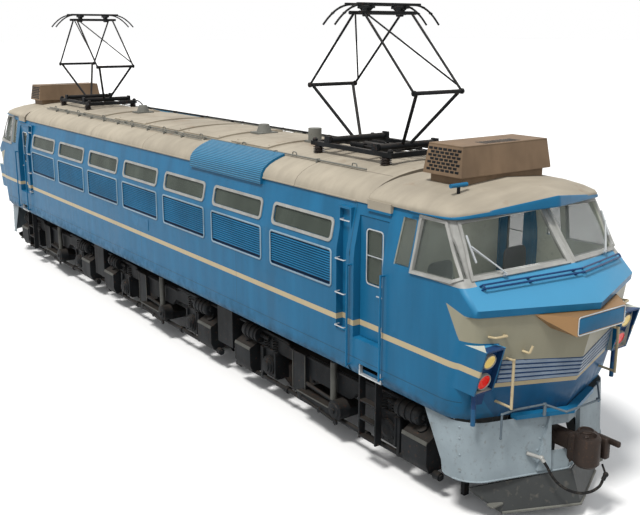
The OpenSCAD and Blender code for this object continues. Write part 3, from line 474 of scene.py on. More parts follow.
MAKERS = {
    "body_blue": body_paint,
    "roof_beige": roof_paint,
    "black_iron": black_iron,
    "wheel_steel": wheel_steel,
    "aircon_tan": aircon_metal,
    "rubber_black": rubber,
    "cream": lambda n: worn_paint(n, paint().cream, (0.2, 0.13, 0.08), 0.42, coat=0.1),
    "silver": lambda n: worn_paint(n, srgb(188, 192, 194), None, 0.38, 0.55, 2.0),
    "strip_silver": lambda n: worn_paint(n, srgb(126, 140, 156), srgb(56, 84, 120), 0.36, 0.25, 2.0),
    "screen_frame": lambda n: worn_paint(n, paint().frames, srgb(112, 112, 108), 0.4, 0.2, 3.0),
    "plain_blue": lambda n: worn_paint(n, paint().side, scaled(paint().side, 0.6), 0.36, coat=0.04),
    "rim_blue": lambda n: worn_paint(n, srgb(134, 156, 170), scaled(paint().side, 0.8), 0.4),
    "deep_blue": lambda n: worn_paint(n, paint().shade, scaled(paint().shade, 0.5), 0.4, coat=0.1),
    "lever_grey": lambda n: worn_paint(n, srgb(96, 108, 116), srgb(60, 60, 60), 0.4, 0.3),
    # Lighter grey iron for bogie edges, lids, a rim and a damper: painted highlight
    "worn_iron": lambda n: worn_paint(n, srgb(84, 84, 80), srgb(40, 40, 40), 0.5, 0.3, 3.0),
    "insulator": lambda n: worn_paint(n, srgb(58, 50, 46), srgb(30, 28, 26), 0.25, 0.0, 2.0, coat=0.5),
    "skirt_grey": lambda n: worn_paint(n, paint().skirt, srgb(104, 98, 90), 0.5, scale=1.4),
    "bronze": lambda n: worn_paint(n, paint().bronze, srgb(84, 54, 30), 0.45, 0.25, 2.0),
    "inside_green": lambda n: worn_paint(n, paint().inside, None, 0.6),
    # Dark grey inside the machine room: painted shade for the unlit room and its machinery
    "inside_dark": lambda n: worn_paint(n, srgb(58, 62, 60), None, 0.6),
    "dull_grey": lambda n: worn_paint(n, srgb(112, 112, 106), srgb(70, 60, 50), 0.6, scale=2.0),
    "coupler_brown": lambda n: worn_paint(n, srgb(54, 46, 42), srgb(96, 72, 54), 0.5, 0.4, 2.5),
    "plough_grey": lambda n: worn_paint(n, srgb(62, 64, 64), srgb(118, 112, 102), 0.5, 0.3, 0.8),
    "glass_front": lambda n: clear_glass(n, srgb(96, 104, 100), 0.05),
    "glass_side": lambda n: clear_glass(n, srgb(84, 92, 84), 0.5),
    "louvre_blue": louvre_paint,
    "glass_door": lambda n: clear_glass(n, srgb(84, 92, 84), 0.2),
    # Near-black navy behind the grille slats: painted shade in the gaps
    "slat_gap": lambda n: worn_paint(n, srgb(16, 44, 72), None, 0.5),
    "red_lens": lambda n: lens(n, paint().red),
    "yellow_lens": lambda n: lens(n, paint().yellow),
    "seat_cloth": lambda n: cloth(n, paint().seat),
}


def finish(name):
    """The material of that name, made when it is first asked for."""
    return bpy.data.materials.get(name) or MAKERS[name](name)


# ---------- shapes ----------


class Shape:
    """Points and faces gathered from several surfaces of one piece."""

    def __init__(self):
        self.points, self.faces, self.count = [], [], 0

    def add(self, part):
        """Adds a surface, given as points and lists of faces."""
        points, faces = part
        self.points.append(np.asarray(points, float).reshape(-1, 3))
        self.faces.extend([tuple(int(i) + self.count for i in face) for face in faces])
        self.count += len(self.points[-1])
        return self

    def both_sides(self, *parts):
        """Adds each surface and its mirror image across the locomotive."""
        for part in parts:
            self.add(part).add(mirrored(part))
        return self

    def both_ends(self):
        """Adds a copy of everything so far, turned half a turn about Z."""
        points, faces = np.concatenate(self.points), list(self.faces)
        return self.add((points * (-1, -1, 1), faces))


def mirrored(part):
    points, faces = part
    return np.asarray(points, float).reshape(-1, 3) * (1, -1, 1), [tuple(f)[::-1] for f in faces]


def grid(points, wrap_u=False, wrap_v=False, cap=False):
    """Surface through points[i, j]; wrap joins the last row or column to the first, cap closes the ends of a
    wrapped tube."""
    points = np.asarray(points, float)
    m, n = points.shape[:2]
    at = np.arange(m * n).reshape(m, n)
    rows = np.concatenate([at, at[:1]]) if wrap_u else at
    rows = np.concatenate([rows, rows[:, :1]], axis=1) if wrap_v else rows
    quads = np.stack([rows[:-1, :-1], rows[1:, :-1], rows[1:, 1:], rows[:-1, 1:]], -1).reshape(-1, 4)
    faces = [tuple(q) for q in quads.tolist()]
    if cap:
        faces += [tuple(at[0].tolist()), tuple(at[-1][::-1].tolist())]
    return points.reshape(-1, 3), faces


def unit(v):
    return v / np.maximum(np.linalg.norm(v, axis=-1, keepdims=True), 1e-12)


def carried(path, outline, across=None, closed=False):
    """An outline (a, b) carried along a path: each point is path + a * side + b * up, where side stands square to
    the path's direction and to a reference direction, and corners are mitred by the cosine of half their turn."""
    path, outline = np.asarray(path, float), np.asarray(outline, float)
    ahead = np.roll(path, -1, 0) - path
    if closed:
        before, after = unit(np.roll(ahead, 1, 0)), unit(ahead)
    else:
        after = unit(np.concatenate([ahead[:-1], ahead[-2:-1]]))
        before = unit(np.concatenate([ahead[:1], ahead[:-1]]))
    along = unit(before + after)
    if across is None:
        lowest = np.eye(3)[np.argmin(np.abs(along).max(0))]
        across = np.cross(along, lowest)
    across = unit(np.broadcast_to(np.asarray(across, float), path.shape))
    side = unit(np.cross(along, across))
    up = np.cross(side, along)
    stretch = 1 / np.maximum((along * after).sum(1), 0.35)
    points = (
        path[:, None]
        + outline[None, :, :1] * (side * stretch[:, None])[:, None]
        + outline[None, :, 1:] * up[:, None]
    )
    return grid(points, wrap_u=closed, wrap_v=True, cap=not closed)


def circle(radius, steps):
    """Points (r cos t, r sin t) for evenly spaced t."""
    t = np.linspace(0, 2 * math.pi, steps, endpoint=False)
    return np.stack([radius * np.cos(t), radius * np.sin(t)], 1)


def tube(path, radius, steps=12):
    """A round bar along a path that turns gently or at mitred corners."""
    return carried(path, circle(radius, steps))


def bent(path, radius, steps=6):
    """The path with each corner replaced by an arc: b + (b - a)(1 - t)^2-weighted quadratic curve that
    starts and ends radius from the corner."""
    path = [np.asarray(p, float) for p in path]
    made = [path[0]]
    t = np.linspace(0, 1, steps)[:, None]
    for a, b, c in zip(path, path[1:], path[2:]):
        start = b + (a - b) / np.linalg.norm(a - b) * min(radius, np.linalg.norm(a - b) / 2)
        end = b + (c - b) / np.linalg.norm(c - b) * min(radius, np.linalg.norm(c - b) / 2)
        made.extend((1 - t) ** 2 * start + 2 * t * (1 - t) * b + t**2 * end)
    made.append(path[-1])
    return np.array(made)


def spun(outline, start, axis, steps):
    """Points of a profile (distance from the axis, distance along it) turned about an axis from a start
    point."""
    outline, axis = np.asarray(outline, float), unit(np.asarray(axis, float))
    side = unit(np.cross(axis, np.eye(3)[np.argmin(np.abs(axis))]))
    other = np.cross(axis, side)
    t = np.linspace(0, 2 * math.pi, steps, endpoint=False)
    ring = np.cos(t)[:, None] * side + np.sin(t)[:, None] * other
    return np.asarray(start, float) + outline[:, None, :1] * ring[None] + outline[:, None, 1:] * axis


def lathe(outline, start, axis, steps=24):
    """A solid of revolution whose profile starts and ends on or near its axis."""
    return grid(spun(outline, start, axis, steps), wrap_v=True, cap=True)


def ring_lathe(outline, start, axis, steps):
    """A closed profile turned about an axis into a ring."""
    return grid(spun(outline, start, axis, steps), wrap_u=True, wrap_v=True)


# How many points rounded() gives with its default steps
ROUNDED_POINTS = 20


def rounded(width, height, radius, steps=4):
    """Outline of a rectangle whose corners are quarter circles, anticlockwise."""
    t = np.linspace(0, math.pi / 2, steps + 1)
    arcs = [
        np.stack([np.cos(t + k * math.pi / 2), np.sin(t + k * math.pi / 2)], 1) * radius for k in range(4)
    ]
    w, h = width / 2 - radius, height / 2 - radius
    return np.concatenate([arc + c for arc, c in zip(arcs, [(w, h), (-w, h), (-w, -h), (w, -h)])])


def block(low, high, soft=0.006, steps=2):
    """A box between two corners, its edges rounded: rings of a rounded rectangle drawn in by soft * (1 - cos
    t) at both ends."""
    low, high = np.asarray(low, float), np.asarray(high, float)
    w, h, d = high - low
    soft = min(soft, w / 2.2, h / 2.2, d / 2.2)
    t = np.linspace(0, math.pi / 2, steps + 1)
    inset = soft * (1 - np.cos(t))
    depth = np.concatenate([soft * (1 - np.sin(t))[::-1], d - soft * (1 - np.sin(t))])
    inset = np.concatenate([inset[::-1], inset])
    rings = [
        np.column_stack(
            [rounded(w - 2 * i, h - 2 * i, max(soft - i, soft * 0.2)), np.full((ROUNDED_POINTS, 1), z)]
        )
        for i, z in zip(inset, depth)
    ]
    centre = np.array([(low[0] + high[0]) / 2, (low[1] + high[1]) / 2, low[2]])
    points, faces = grid(np.array(rings) + centre, wrap_v=True, cap=True)
    return points, [tuple(f)[::-1] for f in faces]


def sheet_on(outline, lift, surface):
    """A thin plate over part of a surface: grid of (u, v) values mapped by surface(u, v) and lifted along
    its normal."""
    u, v = outline
    base = surface(u, v)
    du = np.gradient(base, axis=0)
    dv = np.gradient(base, axis=1)
    normal = unit(np.cross(du, dv))
    top = base + normal * lift
    m, n = base.shape[:2]
    ring = np.concatenate([base[None], top[None]])
    pts = ring.reshape(-1, 3)
    at = np.arange(2 * m * n).reshape(2, m, n)
    faces = [
        tuple(q)
        for q in np.stack(
            [at[1, :-1, :-1], at[1, 1:, :-1], at[1, 1:, 1:], at[1, :-1, 1:]], -1
        ).reshape(-1, 4).tolist()
    ]
    rim = np.concatenate([at[:, 0, :], at[:, 1:, -1], at[:, -1, -2::-1], at[:, -2:0:-1, 0]], axis=1)
    low, high = rim[0], rim[1]
    low2, high2 = np.roll(low, -1), np.roll(high, -1)
    faces += [tuple(q) for q in np.stack([low, high, high2, low2], -1).tolist()]
    faces += [
        tuple(q)
        for q in np.stack(
            [at[0, :-1, :-1], at[0, :-1, 1:], at[0, 1:, 1:], at[0, 1:, :-1]], -1
        ).reshape(-1, 4).tolist()
    ]
    return pts, faces


# ---------- the body's own surfaces ----------

# Height, set-back of the ridge, slope of the V and corner radius, as the cab shell has them
CAB_SECTIONS = np.array(
    [
        [1.296, 0.385, 0.345, 0.35],
        [1.4, 0.345, 0.35, 0.35],
        [1.7, 0.262, 0.355, 0.35],
        [2.06, 0.18, 0.36, 0.33],
        [2.3, 0.125, 0.375, 0.29],
        [2.585, 0.062, 0.40, 0.22],
        [2.61, 0.015, 0.405, 0.13],
        [2.69, 0.0, 0.41, 0.11],
        [2.84, 0.175, 0.40, 0.12],
        [2.96, 0.317, 0.385, 0.13],
        [3.06, 0.435, 0.335, 0.14],
        [3.3, 0.64, 0.26, 0.14],
        [3.666, 0.925, 0.19, 0.13],
    ]
)
NOSE_X = 8.985


def side_y(z):
    """Half width of the body: 1.4 m up to the crease at 2.9 m, then leaning in to 1.27 m at 3.544 m."""
    return np.where(z < 2.9, 1.4, 1.4 - (z - 2.9) * (0.13 / 0.644))


def section(z):
    """Set-back, slope and corner radius at a height, straight between the sections."""
    return [np.interp(z, CAB_SECTIONS[:, 0], CAB_SECTIONS[:, k]) for k in (1, 2, 3)]


def v_plan(ay, ridge, slope, r, edge):
    """X of a V seen from above: it falls from the ridge by the V's slope, then follows a circle of radius r that
    touches the side at the edge."""
    lean = np.sqrt(1 + slope**2)
    centre_y = edge - r
    centre_x = ridge - centre_y * slope - r * lean
    round_x = centre_x + np.sqrt(np.maximum(r**2 - np.maximum(ay - centre_y, 0) ** 2, 0))
    return np.where(ay <= centre_y + r * slope / lean, ridge - slope * ay, round_x)


def nose(y, z):
    """Point of the nose at y and z."""
    back, slope, r = section(z)
    x = v_plan(np.abs(y), NOSE_X - back, slope, r, side_y(z))
    return np.stack(np.broadcast_arrays(x, y, z), -1)


def flank(x, z, side=-1):
    """Point of the cab's side at x and z: on the side wall, or round the corner's circle further forward."""
    back, slope, r = section(z)
    edge = side_y(z)
    centre_y = edge - r
    centre_x = NOSE_X - back - centre_y * slope - r * np.sqrt(1 + slope**2)
    ay = np.where(
        x <= centre_x, edge, centre_y + np.sqrt(np.maximum(r**2 - np.maximum(x - centre_x, 0) ** 2, 0))
    )
    return np.stack(np.broadcast_arrays(x, side * ay, z), -1)


def normal_of(surface, a, b, step=0.004):
    """Outward direction of a surface of two parameters, from the cross product of its two steps."""
    du = surface(a + step, b) - surface(a - step, b)
    dv = surface(a, b + step) - surface(a, b - step)
    return unit(np.cross(du, dv))


def side_panel(x, z, out=0.0):
    """Point of the machine room's near side, out metres off it."""
    return np.stack(np.broadcast_arrays(x, -(side_y(z) + out), z), -1)


# ---------- pieces ----------


def piece(name, shape, material, body="carbody", smooth=35, replaces=()):
    """Makes the mesh of a piece, gives it its finish and lets it ride on its body."""
    if isinstance(shape, tuple):
        shape = Shape().add(shape)
    mesh = bpy.data.meshes.new(name)
    mesh.from_pydata(np.concatenate(shape.points), [], shape.faces)
    mesh.update()
    dress(mesh, smooth)
    mesh.materials.append(finish(material))
    made = bpy.data.objects.new(name, mesh)
    bpy.context.scene.collection.objects.link(made)
    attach(made, body)
    if replaces:
        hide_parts(*replaces)
    return made


def dress(mesh, smooth):
    """Closes tiny gaps, turns the faces of closed surfaces outwards and smooths all but sharp edges."""
    b = bmesh.new()
    b.from_mesh(mesh)
    bmesh.ops.remove_doubles(b, verts=b.verts, dist=1e-5)
    bmesh.ops.recalc_face_normals(b, faces=b.faces)
    b.to_mesh(mesh)
    b.free()
    mesh.shade_smooth()
    mesh.set_sharp_from_angle(angle=math.radians(smooth))


def skin(node, materials, smooth=32, pick=None):
    """A smooth-shaded copy of a CAD node that stands for it; pick(centres, normals) gives each face's
    material."""
    source = NODES[node]
    mesh = source.data.copy()
    mesh.name = node + "_skin"
    b = bmesh.new()
    b.from_mesh(mesh)
    bmesh.ops.remove_doubles(b, verts=b.verts, dist=5e-5)
    b.to_mesh(mesh)
    b.free()
    normals = mesh.attributes.get("custom_normal")
    if normals:
        mesh.attributes.remove(normals)
    mesh.shade_smooth()
    mesh.set_sharp_from_angle(angle=math.radians(smooth))
    mesh.materials.clear()
    for material in materials:
        mesh.materials.append(finish(material))
    count = len(mesh.polygons)
    index = np.zeros(count, np.int32)
    if pick:
        centres, facing = np.zeros(count * 3), np.zeros(count * 3)
        mesh.polygons.foreach_get("center", centres)
        mesh.polygons.foreach_get("normal", facing)
        index = pick(centres.reshape(-1, 3), facing.reshape(-1, 3)).astype(np.int32)
    mesh.polygons.foreach_set("material_index", index)
    made = bpy.data.objects.new(mesh.name, mesh)
    bpy.context.scene.collection.objects.link(made)
    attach(made, source["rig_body"])
    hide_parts(node)
    modifier = made.modifiers.new("even_shading", "WEIGHTED_NORMAL")
    modifier.keep_sharp = True
    modifier.weight = 60
    return made


class LocoOperator(bpy.types.Operator):
    """Base of the locomotive's operators: runs build() and raises what it raises."""

    bl_options = {"REGISTER", "UNDO"}

    def execute(self, context):
        self.build()
        return {"FINISHED"}


def seen_rays(finish_of):
    """1 for rays from the camera, from a mirror or through glass."""
    rays = finish_of.node("ShaderNodeLightPath", {}, {}).outputs
    camera, glossy, through = (
        Num(finish_of, rays[k]) for k in ("Is Camera Ray", "Is Glossy Ray", "Is Transmission Ray")
    )
    return camera.either(glossy).either(through)


class LOCO_OT_stage(LocoOperator):
    """Floor, light and camera"""

    bl_idname = "loco.stage"
    bl_label = "Stage"

    def build(self):
        scene = bpy.context.scene
        scene.view_settings.view_transform = "Standard"
        floor = bpy.data.objects.new("floor", bpy.data.meshes.new("floor"))
        t = np.linspace(-400, 400, 9)
        points, faces = grid(np.stack(np.meshgrid(t, t, [-0.002], indexing="ij"), -1)[:, :, 0])
        floor.data.from_pydata(points, [], faces)
        scene.collection.objects.link(floor)
        pale = Finish("floor_pale")
        tone = pale.noise(0.02, 2.0)
        seen = seen_rays(pale)
        pale.set(
            Base_Color=pale.mix(seen, (0.3, 0.3, 0.3), pale.mix(tone, (0.86, 0.86, 0.86), (0.9, 0.9, 0.9))),
            Roughness=0.9,
        )
        floor.data.materials.append(pale.material)
        world = bpy.data.worlds.new("studio")
        scene.world = world
        world.use_nodes = True
        tree = world.node_tree
        ray = tree.nodes.new("ShaderNodeLightPath")
        either = tree.nodes.new("ShaderNodeMath")
        seen = tree.nodes.new("ShaderNodeMath")
        either.operation = seen.operation = "MAXIMUM"
        tree.links.new(ray.outputs["Is Camera Ray"], either.inputs[0])
        tree.links.new(ray.outputs["Is Transmission Ray"], either.inputs[1])
        tree.links.new(either.outputs[0], seen.inputs[0])
        tree.links.new(ray.outputs["Is Glossy Ray"], seen.inputs[1])
        shade = tree.nodes["Background"]
        shade.inputs[0].default_value = (0.96, 0.98, 1.0, 1.0)
        shade.inputs[1].default_value = 0.62
        white = tree.nodes.new("ShaderNodeBackground")
        white.inputs[0].default_value = (1, 1, 1, 1)
        blend = tree.nodes.new("ShaderNodeMixShader")
        tree.links.new(seen.outputs[0], blend.inputs[0])
        tree.links.new(shade.outputs[0], blend.inputs[1])
        tree.links.new(white.outputs[0], blend.inputs[2])
        tree.links.new(blend.outputs[0], tree.nodes["World Output"].inputs[0])
        for end in (-1, 1):
            glow = bpy.data.lights.new("cab_glow", "POINT")
            glow.energy, glow.shadow_soft_size = 14.0, 0.25
            holder = bpy.data.objects.new("cab_glow", glow)
            holder.location = (7.75 * end, 0, 3.25)
            scene.collection.objects.link(holder)
        for name, strength, angle, turn in (
            ("key", 3.0, 12, (29, 0, 16)),
            ("fill", 0.35, 70, (60, 0, 70)),
        ):
            lamp = bpy.data.lights.new(name, "SUN")
            lamp.energy, lamp.angle = strength, math.radians(angle)
            lamp.color = (1.0, 0.985, 0.96)
            holder = bpy.data.objects.new(name, lamp)
            holder.rotation_euler = Euler([math.radians(a) for a in turn])
            scene.collection.objects.link(holder)
        camera = bpy.data.objects.new("camera", bpy.data.cameras.new("camera"))
        scene.collection.objects.link(camera)
        camera.location = (14.689, -8.052, 5.616)
        camera.rotation_euler = (math.radians(90 - 13.985), 0, math.radians(54.264))
        camera.data.lens, camera.data.sensor_width = 49.49, 36
        camera.data.shift_x, camera.data.shift_y = 0.0103, -0.0123
        camera.data.clip_end = 1000
        scene.camera = camera


# Points that the brake hose follows, from the cock to its coupling head
HOSE_ROUTE = np.array(
    [
        [8.690, -0.430, 0.745],
        [8.735, -0.425, 0.700],
        [8.775, -0.415, 0.640],
        [8.830, -0.385, 0.560],
        [8.900, -0.330, 0.490],
        [8.970, -0.250, 0.440],
        [9.030, -0.150, 0.415],
        [9.080, -0.040, 0.425],
        [9.110, 0.060, 0.470],
        [9.115, 0.110, 0.540],
    ]
)
HOSE_D = 0.034


def smooth_path(points, per=6):
    """Catmull-Rom curve through the points, with per steps between neighbours."""
    p = np.concatenate([2 * points[:1] - points[1:2], points, 2 * points[-1:] - points[-2:-1]])
    t = np.linspace(0, 1, per, endpoint=False)[None, :, None]
    a, b, c, d = (p[k : len(p) - 3 + k, None] for k in range(4))
    curve = 0.5 * (2 * b + (c - a) * t + (2 * a - 5 * b + 4 * c - d) * t**2 + (3 * b - a - 3 * c + d) * t**3)
    return np.concatenate([curve.reshape(-1, 3), points[-1:]])


class LOCO_OT_brake_hoses(LocoOperator):
    """Brake hoses with their cocks and coupling heads"""

    bl_idname = "loco.brake_hoses"
    bl_label = "Brake hoses"

    def build(self):
        skin(
            "brake_cocks",
            ["screen_frame", "black_iron"],
            pick=lambda c, n: np.abs(c[:, 0]) > 8.9,
        )
        for end, sign in ENDS.items():
            turn = np.array([sign, sign, 1])
            route = smooth_path(HOSE_ROUTE) * turn
            hose = piece(
                end + "_hose_rubber",
                tube(route, HOSE_D / 2, 14),
                "rubber_black",
                replaces=[end + "_brake_hose"],
            )


def into_room(c, n):
    """Faces of the body that look inwards."""
    deep = np.abs(c[:, 1]) < side_y(c[:, 2]) - 0.05
    return deep & (np.abs(c[:, 0]) < 6.3) & ((np.abs(c[:, 0]) < 5.9) | (np.abs(c[:, 1]) < 1.22))


class LOCO_OT_machine_room(LocoOperator):
    """Machine room: sides, roof, windows, grilles, louvres"""

    bl_idname = "loco.machine_room"
    bl_label = "Machine room"

    def build(self):
        # Inward faces take the dark grey painted shade of the room
        skin("machine_room_body", ["body_blue", "inside_dark"], pick=into_room)
        skin("machine_room_roof", ["roof_beige"])
        skin(
            "roof_louvres",
            ["louvre_blue", "plain_blue"],
            pick=lambda c, n: np.abs(np.abs(c[:, 0]) - 2.955) > 1.02,
        )
        skin("window_frames", ["screen_frame"])
        skin("machine_room_windows", ["glass_side"])
        # The grille boxes carry the painted shade seen between the slats
        skin("side_grilles", ["slat_gap"])
        skin("machinery", ["inside_dark"])
        self.slats()
        self.trim()

    def slats(self):
        """Sloping slats: one Z-shaped profile carried along each grille, once for every slat."""
        s, shape = sizes(), Shape()
        count = int(0.41 / s.slat_pitch)
        zs = 2.373 + 0.242 + (np.arange(count) - (count - 1) / 2) * s.slat_pitch
        outline = np.array([[0.0, 0.0], [0.006, 0.003], [-0.012, 0.021], [-0.016, 0.016]])
        for i in range(7):
            x = (i - 3) * WINDOW_PITCH
            for z in zs:
                path = np.array([[x - 0.70, -1.404, z], [x + 0.70, -1.404, z]])
                shape.add(carried(path, outline, across=UP))
        shape.both_ends()
        piece("grille_slats", shape, "plain_blue")
        rims = Shape()
        ring = rounded(1.45, 0.492, 0.045)
        for i in range(7):
            path = np.column_stack(
                [ring[:, 0] + (i - 3) * WINDOW_PITCH, np.full(len(ring), -1.406), ring[:, 1] + 2.615]
            )
            rims.add(carried(path, rounded(0.026, 0.016, 0.005), across=(0, -1, 0), closed=True))
        rims.both_ends()
        piece("grille_rims", rims, "rim_blue")

    def trim(self):
        """Gutter along the roof, rungs in the ladder recesses and a bare raised panel on the side."""
        rungs = Shape()
        for z in (3.28, 2.78, 2.33, 1.88):
            y = -float(side_y(z))
            rung = bent(
                [(5.955, y + 0.05, z), (5.955, y - 0.03, z), (6.145, y - 0.03, z), (6.145, y + 0.05, z)], 0.02
            )
            rungs.both_sides(tube(rung, 0.009, 8))
        rungs.both_ends()
        piece("ladder_rungs", rungs, "silver")
        shape = Shape()
        gutter = np.array([[-6.2, -1.282, 3.548], [6.2, -1.282, 3.548]])
        shape.both_sides(carried(gutter, rounded(0.03, 0.022, 0.006), across=UP))
        piece("roof_gutters", shape, "roof_beige")
        panel = Shape()
        u, v = np.meshgrid(np.linspace(-0.34, 0.34, 12), np.linspace(2.1, 2.3, 6), indexing="ij")
        part = sheet_on((u, v), 0.006, lambda a, b: side_panel(a, b, 0.001))
        panel.add(part).both_ends()
        piece("blank_side_panels", panel, "plain_blue")


BOLT = [[0, 0], [0.014, 0], [0.014, 0.008], [0.008, 0.013], [0, 0.014]]


def roof_point(x, y, up):
    """Point of the machine room's roof: z = 3.544 + 0.38 (1 - |y / 1.288| ** 2.2) ** (1 / 2.2), lifted by
    up."""
    z = 3.544 + 0.38 * (1 - np.clip(np.abs(y) / 1.288, 0, 1) ** 2.2) ** (1 / 2.2) + up
    return np.stack(np.broadcast_arrays(x, y, z), -1).astype(float)


class LOCO_OT_roof(LocoOperator):
    """Ventilators, conductor bar, insulators, horns and hatches on the roof"""

    bl_idname = "loco.roof"
    bl_label = "Roof fittings"

    def build(self):
        skin("roof_ventilators", ["dull_grey"])
        skin(
            "roof_fittings",
            ["black_iron", "plain_blue"],
            pick=lambda c, n: (np.abs(c[:, 0]) > 7) & (c[:, 2] > 3.87),
        )
        hatches = Shape()
        for x0, x1 in ((-4.05, -2.95), (-2.35, -0.95), (-0.75, 0.45), (0.62, 1.86), (2.30, 3.38)):
            u, v = np.meshgrid(np.linspace(x0, x1, 3), np.linspace(-0.78, 0.52, 28), indexing="ij")
            hatches.add(sheet_on((u, v), 0.022, lambda a, b: roof_point(a, b, 0.001)))
            for x in (x0 + 0.08, x1 - 0.08):
                for y in (-0.7, 0.44):
                    hatches.add(lathe(BOLT, roof_point(x, y, 0.022), UP, 10))
        piece("roof_hatches", hatches, "roof_beige")
        pipes = Shape()
        for y, r, x0, x1 in ((-0.88, 0.012, -5.9, 5.9), (-0.95, 0.009, -5.9, 1.6), (0.95, 0.012, -5.9, 5.9)):
            x = np.linspace(x0, x1, 12)
            pipes.add(tube(roof_point(x, np.full(12, y), 0.03), r, 8))
            for k in x[1:-1]:
                foot = roof_point(k, y, 0.0)
                pipes.add(block(foot - (0.015, 0.03, 0.012), foot + (0.015, 0.03, 0.05), 0.004))
        for x in np.arange(-5.6, 5.7, 1.4):
            for y in (-0.84, 0.84):
                eye = roof_point(x, y, 0.0)
                hoop = bent(
                    [
                        eye + (-0.05, 0, -0.01),
                        eye + (-0.05, 0, 0.06),
                        eye + (0.05, 0, 0.06),
                        eye + (0.05, 0, -0.01),
                    ],
                    0.03,
                )
                pipes.add(tube(hoop, 0.008, 8))
        piece("roof_pipes", pipes, "dull_grey")


class LOCO_OT_cabs(LocoOperator):
    """Cab shells, roofs with visors, windscreens, wipers and grab rails"""

    bl_idname = "loco.cabs"
    bl_label = "Cabs"

    def build(self):
        for end, sign in ENDS.items():
            centre = np.array([sign * 7.2, 0, 2.75])

            def inward(c, n, centre=centre):
                """Faces that look towards the middle of the cab."""
                facing = (((c - centre) * n).sum(1) < -0.05) & (np.abs(c[:, 0]) < 8.45) & (c[:, 2] > 1.7)
                return facing & ((np.abs(c[:, 0]) > 6.95) | (np.abs(c[:, 1]) < 1.2))

            skin(end + "_cab_shell", ["body_blue", "inside_green"], smooth=38, pick=inward)
        skin(
            "cab_roofs",
            ["roof_beige", "inside_green"],
            smooth=50,
            pick=lambda c, n: (n[:, 2] < -0.5) & (c[:, 2] > 3.5) & (np.abs(c[:, 1]) < 1.15) & (
                np.abs(c[:, 0]) < 7.9
            ),
        )
        skin("cab_windows", ["glass_front"])
        self.frames()
        self.wipers()
        self.grab_rails()
        self.visors()

    def frames(self):
        """Bars round each pane: a flat rounded section carried along the pane's outline on the cab's
        surface."""
        w = sizes().screen_bar
        flat = np.array([[-w / 2, 0.0], [w / 2, 0.0], [w / 2 - 0.004, 0.02], [-w / 2 + 0.004, 0.02]])
        shape = Shape()
        front = dense([(0.05, 3.06), (1.235, 2.965), (1.185, 3.545), (0.05, 3.62)], 10)
        points = nose(-front[:, 0], front[:, 1])
        normal = normal_of(lambda a, b: nose(-a, b), front[:, 0], front[:, 1])
        shape.both_sides(carried(points, flat, across=outward(normal, points), closed=True))
        wrap = dense([(7.38, 2.905), (8.03, 2.93), (8.13, 2.985), (7.80, 3.545), (7.40, 3.545)], 12)
        points = flank(wrap[:, 0], wrap[:, 1])
        normal = normal_of(lambda a, b: flank(a, b), wrap[:, 0], wrap[:, 1])
        shape.both_sides(carried(points, flat, across=outward(normal, points), closed=True))
        shape.both_ends()
        piece("windscreen_frames", shape, "screen_frame")

    def wipers(self):
        """Pivot, arm and blade of each wiper: the arm meets the blade below its middle."""
        shape = Shape()
        pivot, elbow = np.array([8.347, -0.875, 3.013]), np.array([8.085, -1.18, 3.31])
        top, foot = np.array([8.02, -1.183, 3.43]), np.array([8.172, -1.165, 3.144])
        boss = [[0.0, 0], [0.026, 0], [0.03, 0.02], [0.02, 0.045], [0, 0.05]]
        shape.both_sides(
            tube([pivot + (0.01, 0, 0.01), elbow + (0.015, 0, 0.01)], 0.010, 8),
            tube([pivot + (0.01, 0.02, 0.0), elbow + (0.015, 0.012, -0.02)], 0.005, 6),
            carried([top, elbow, foot], rounded(0.018, 0.024, 0.004)),
            lathe(boss, pivot - (0.03, 0, 0.02), (0.8, 0, 0.6), 16),
        )
        shape.both_ends()
        piece("wipers", shape, "silver")

    def grab_rails(self):
        """Two round rails side by side on the hood, joined at their ends and carried by small posts."""
        shape = Shape()
        y = np.linspace(0.0, 1.19, 16)
        lift = np.array([0.045, 0, 0.03])
        upper = nose(-y, 2.985 - 0.082 * y / 1.19) + lift
        lower = nose(-y, 2.952 - 0.082 * y / 1.19) + lift
        shape.both_sides(tube(upper, 0.011, 10), tube(lower, 0.011, 10))
        shape.both_sides(tube([upper[-1] + (0.004, -0.004, 0), lower[-1] + (0.004, -0.004, 0)], 0.011, 10))
        for k in (1, 8, 15):
            shape.both_sides(
                tube([upper[k] - lift * 1.2, upper[k]], 0.012, 8),
                tube([lower[k] - lift * 1.2, lower[k]], 0.012, 8),
            )
        shape.both_ends()
        piece("hood_grab_rails", shape, "deep_blue")

    def visors(self):
        """Blue brim over the windscreens: a rounded section whose height grows towards the middle, carried
        round the roof's front edge."""
        shape = Shape()
        y = np.concatenate(
            [np.linspace(-1.306, -1.0, 26), np.linspace(-1.0, 1.0, 41)[1:-1], np.linspace(1.0, 1.306, 26)]
        )
        x = v_plan(np.abs(y), 8.302, 0.30, 0.26, 1.306)
        tail = np.linspace(7.25, x[0], 12)[:-1]
        x = np.concatenate([tail, x, tail[::-1]])
        y = np.concatenate([np.full(11, y[0]), y, np.full(11, y[-1])])
        mid = np.clip(1 - np.abs(y) / 1.27, 0, 1)
        along = np.gradient(np.stack([x, y], 1), axis=0)
        out = unit(np.stack([along[:, 1], -along[:, 0]], 1))
        out = out * np.sign((out * np.stack([x - 7.0, y], 1)).sum(1))[:, None]
        foot = 3.585 + 0.075 * mid
        height = (0.028 + 0.10 * mid) * np.clip((x - 7.2) / 0.6, 0.3, 1)
        ring = rounded(1.0, 1.0, 0.38)
        proud = ring[:, 0] * 0.022 + 0.008
        points = np.stack(
            [
                x[:, None] + out[:, :1] * proud,
                y[:, None] + out[:, 1:] * proud,
                foot[:, None] + height[:, None] * (ring[:, 1] + 0.5),
            ],
            -1,
        )
        points[:, :, 0] -= (points[:, :, 2] - foot[:, None]) * 0.18
        shape.add(grid(points, wrap_v=True, cap=True)).both_ends()
        piece("visors", shape, "plain_blue", smooth=60)


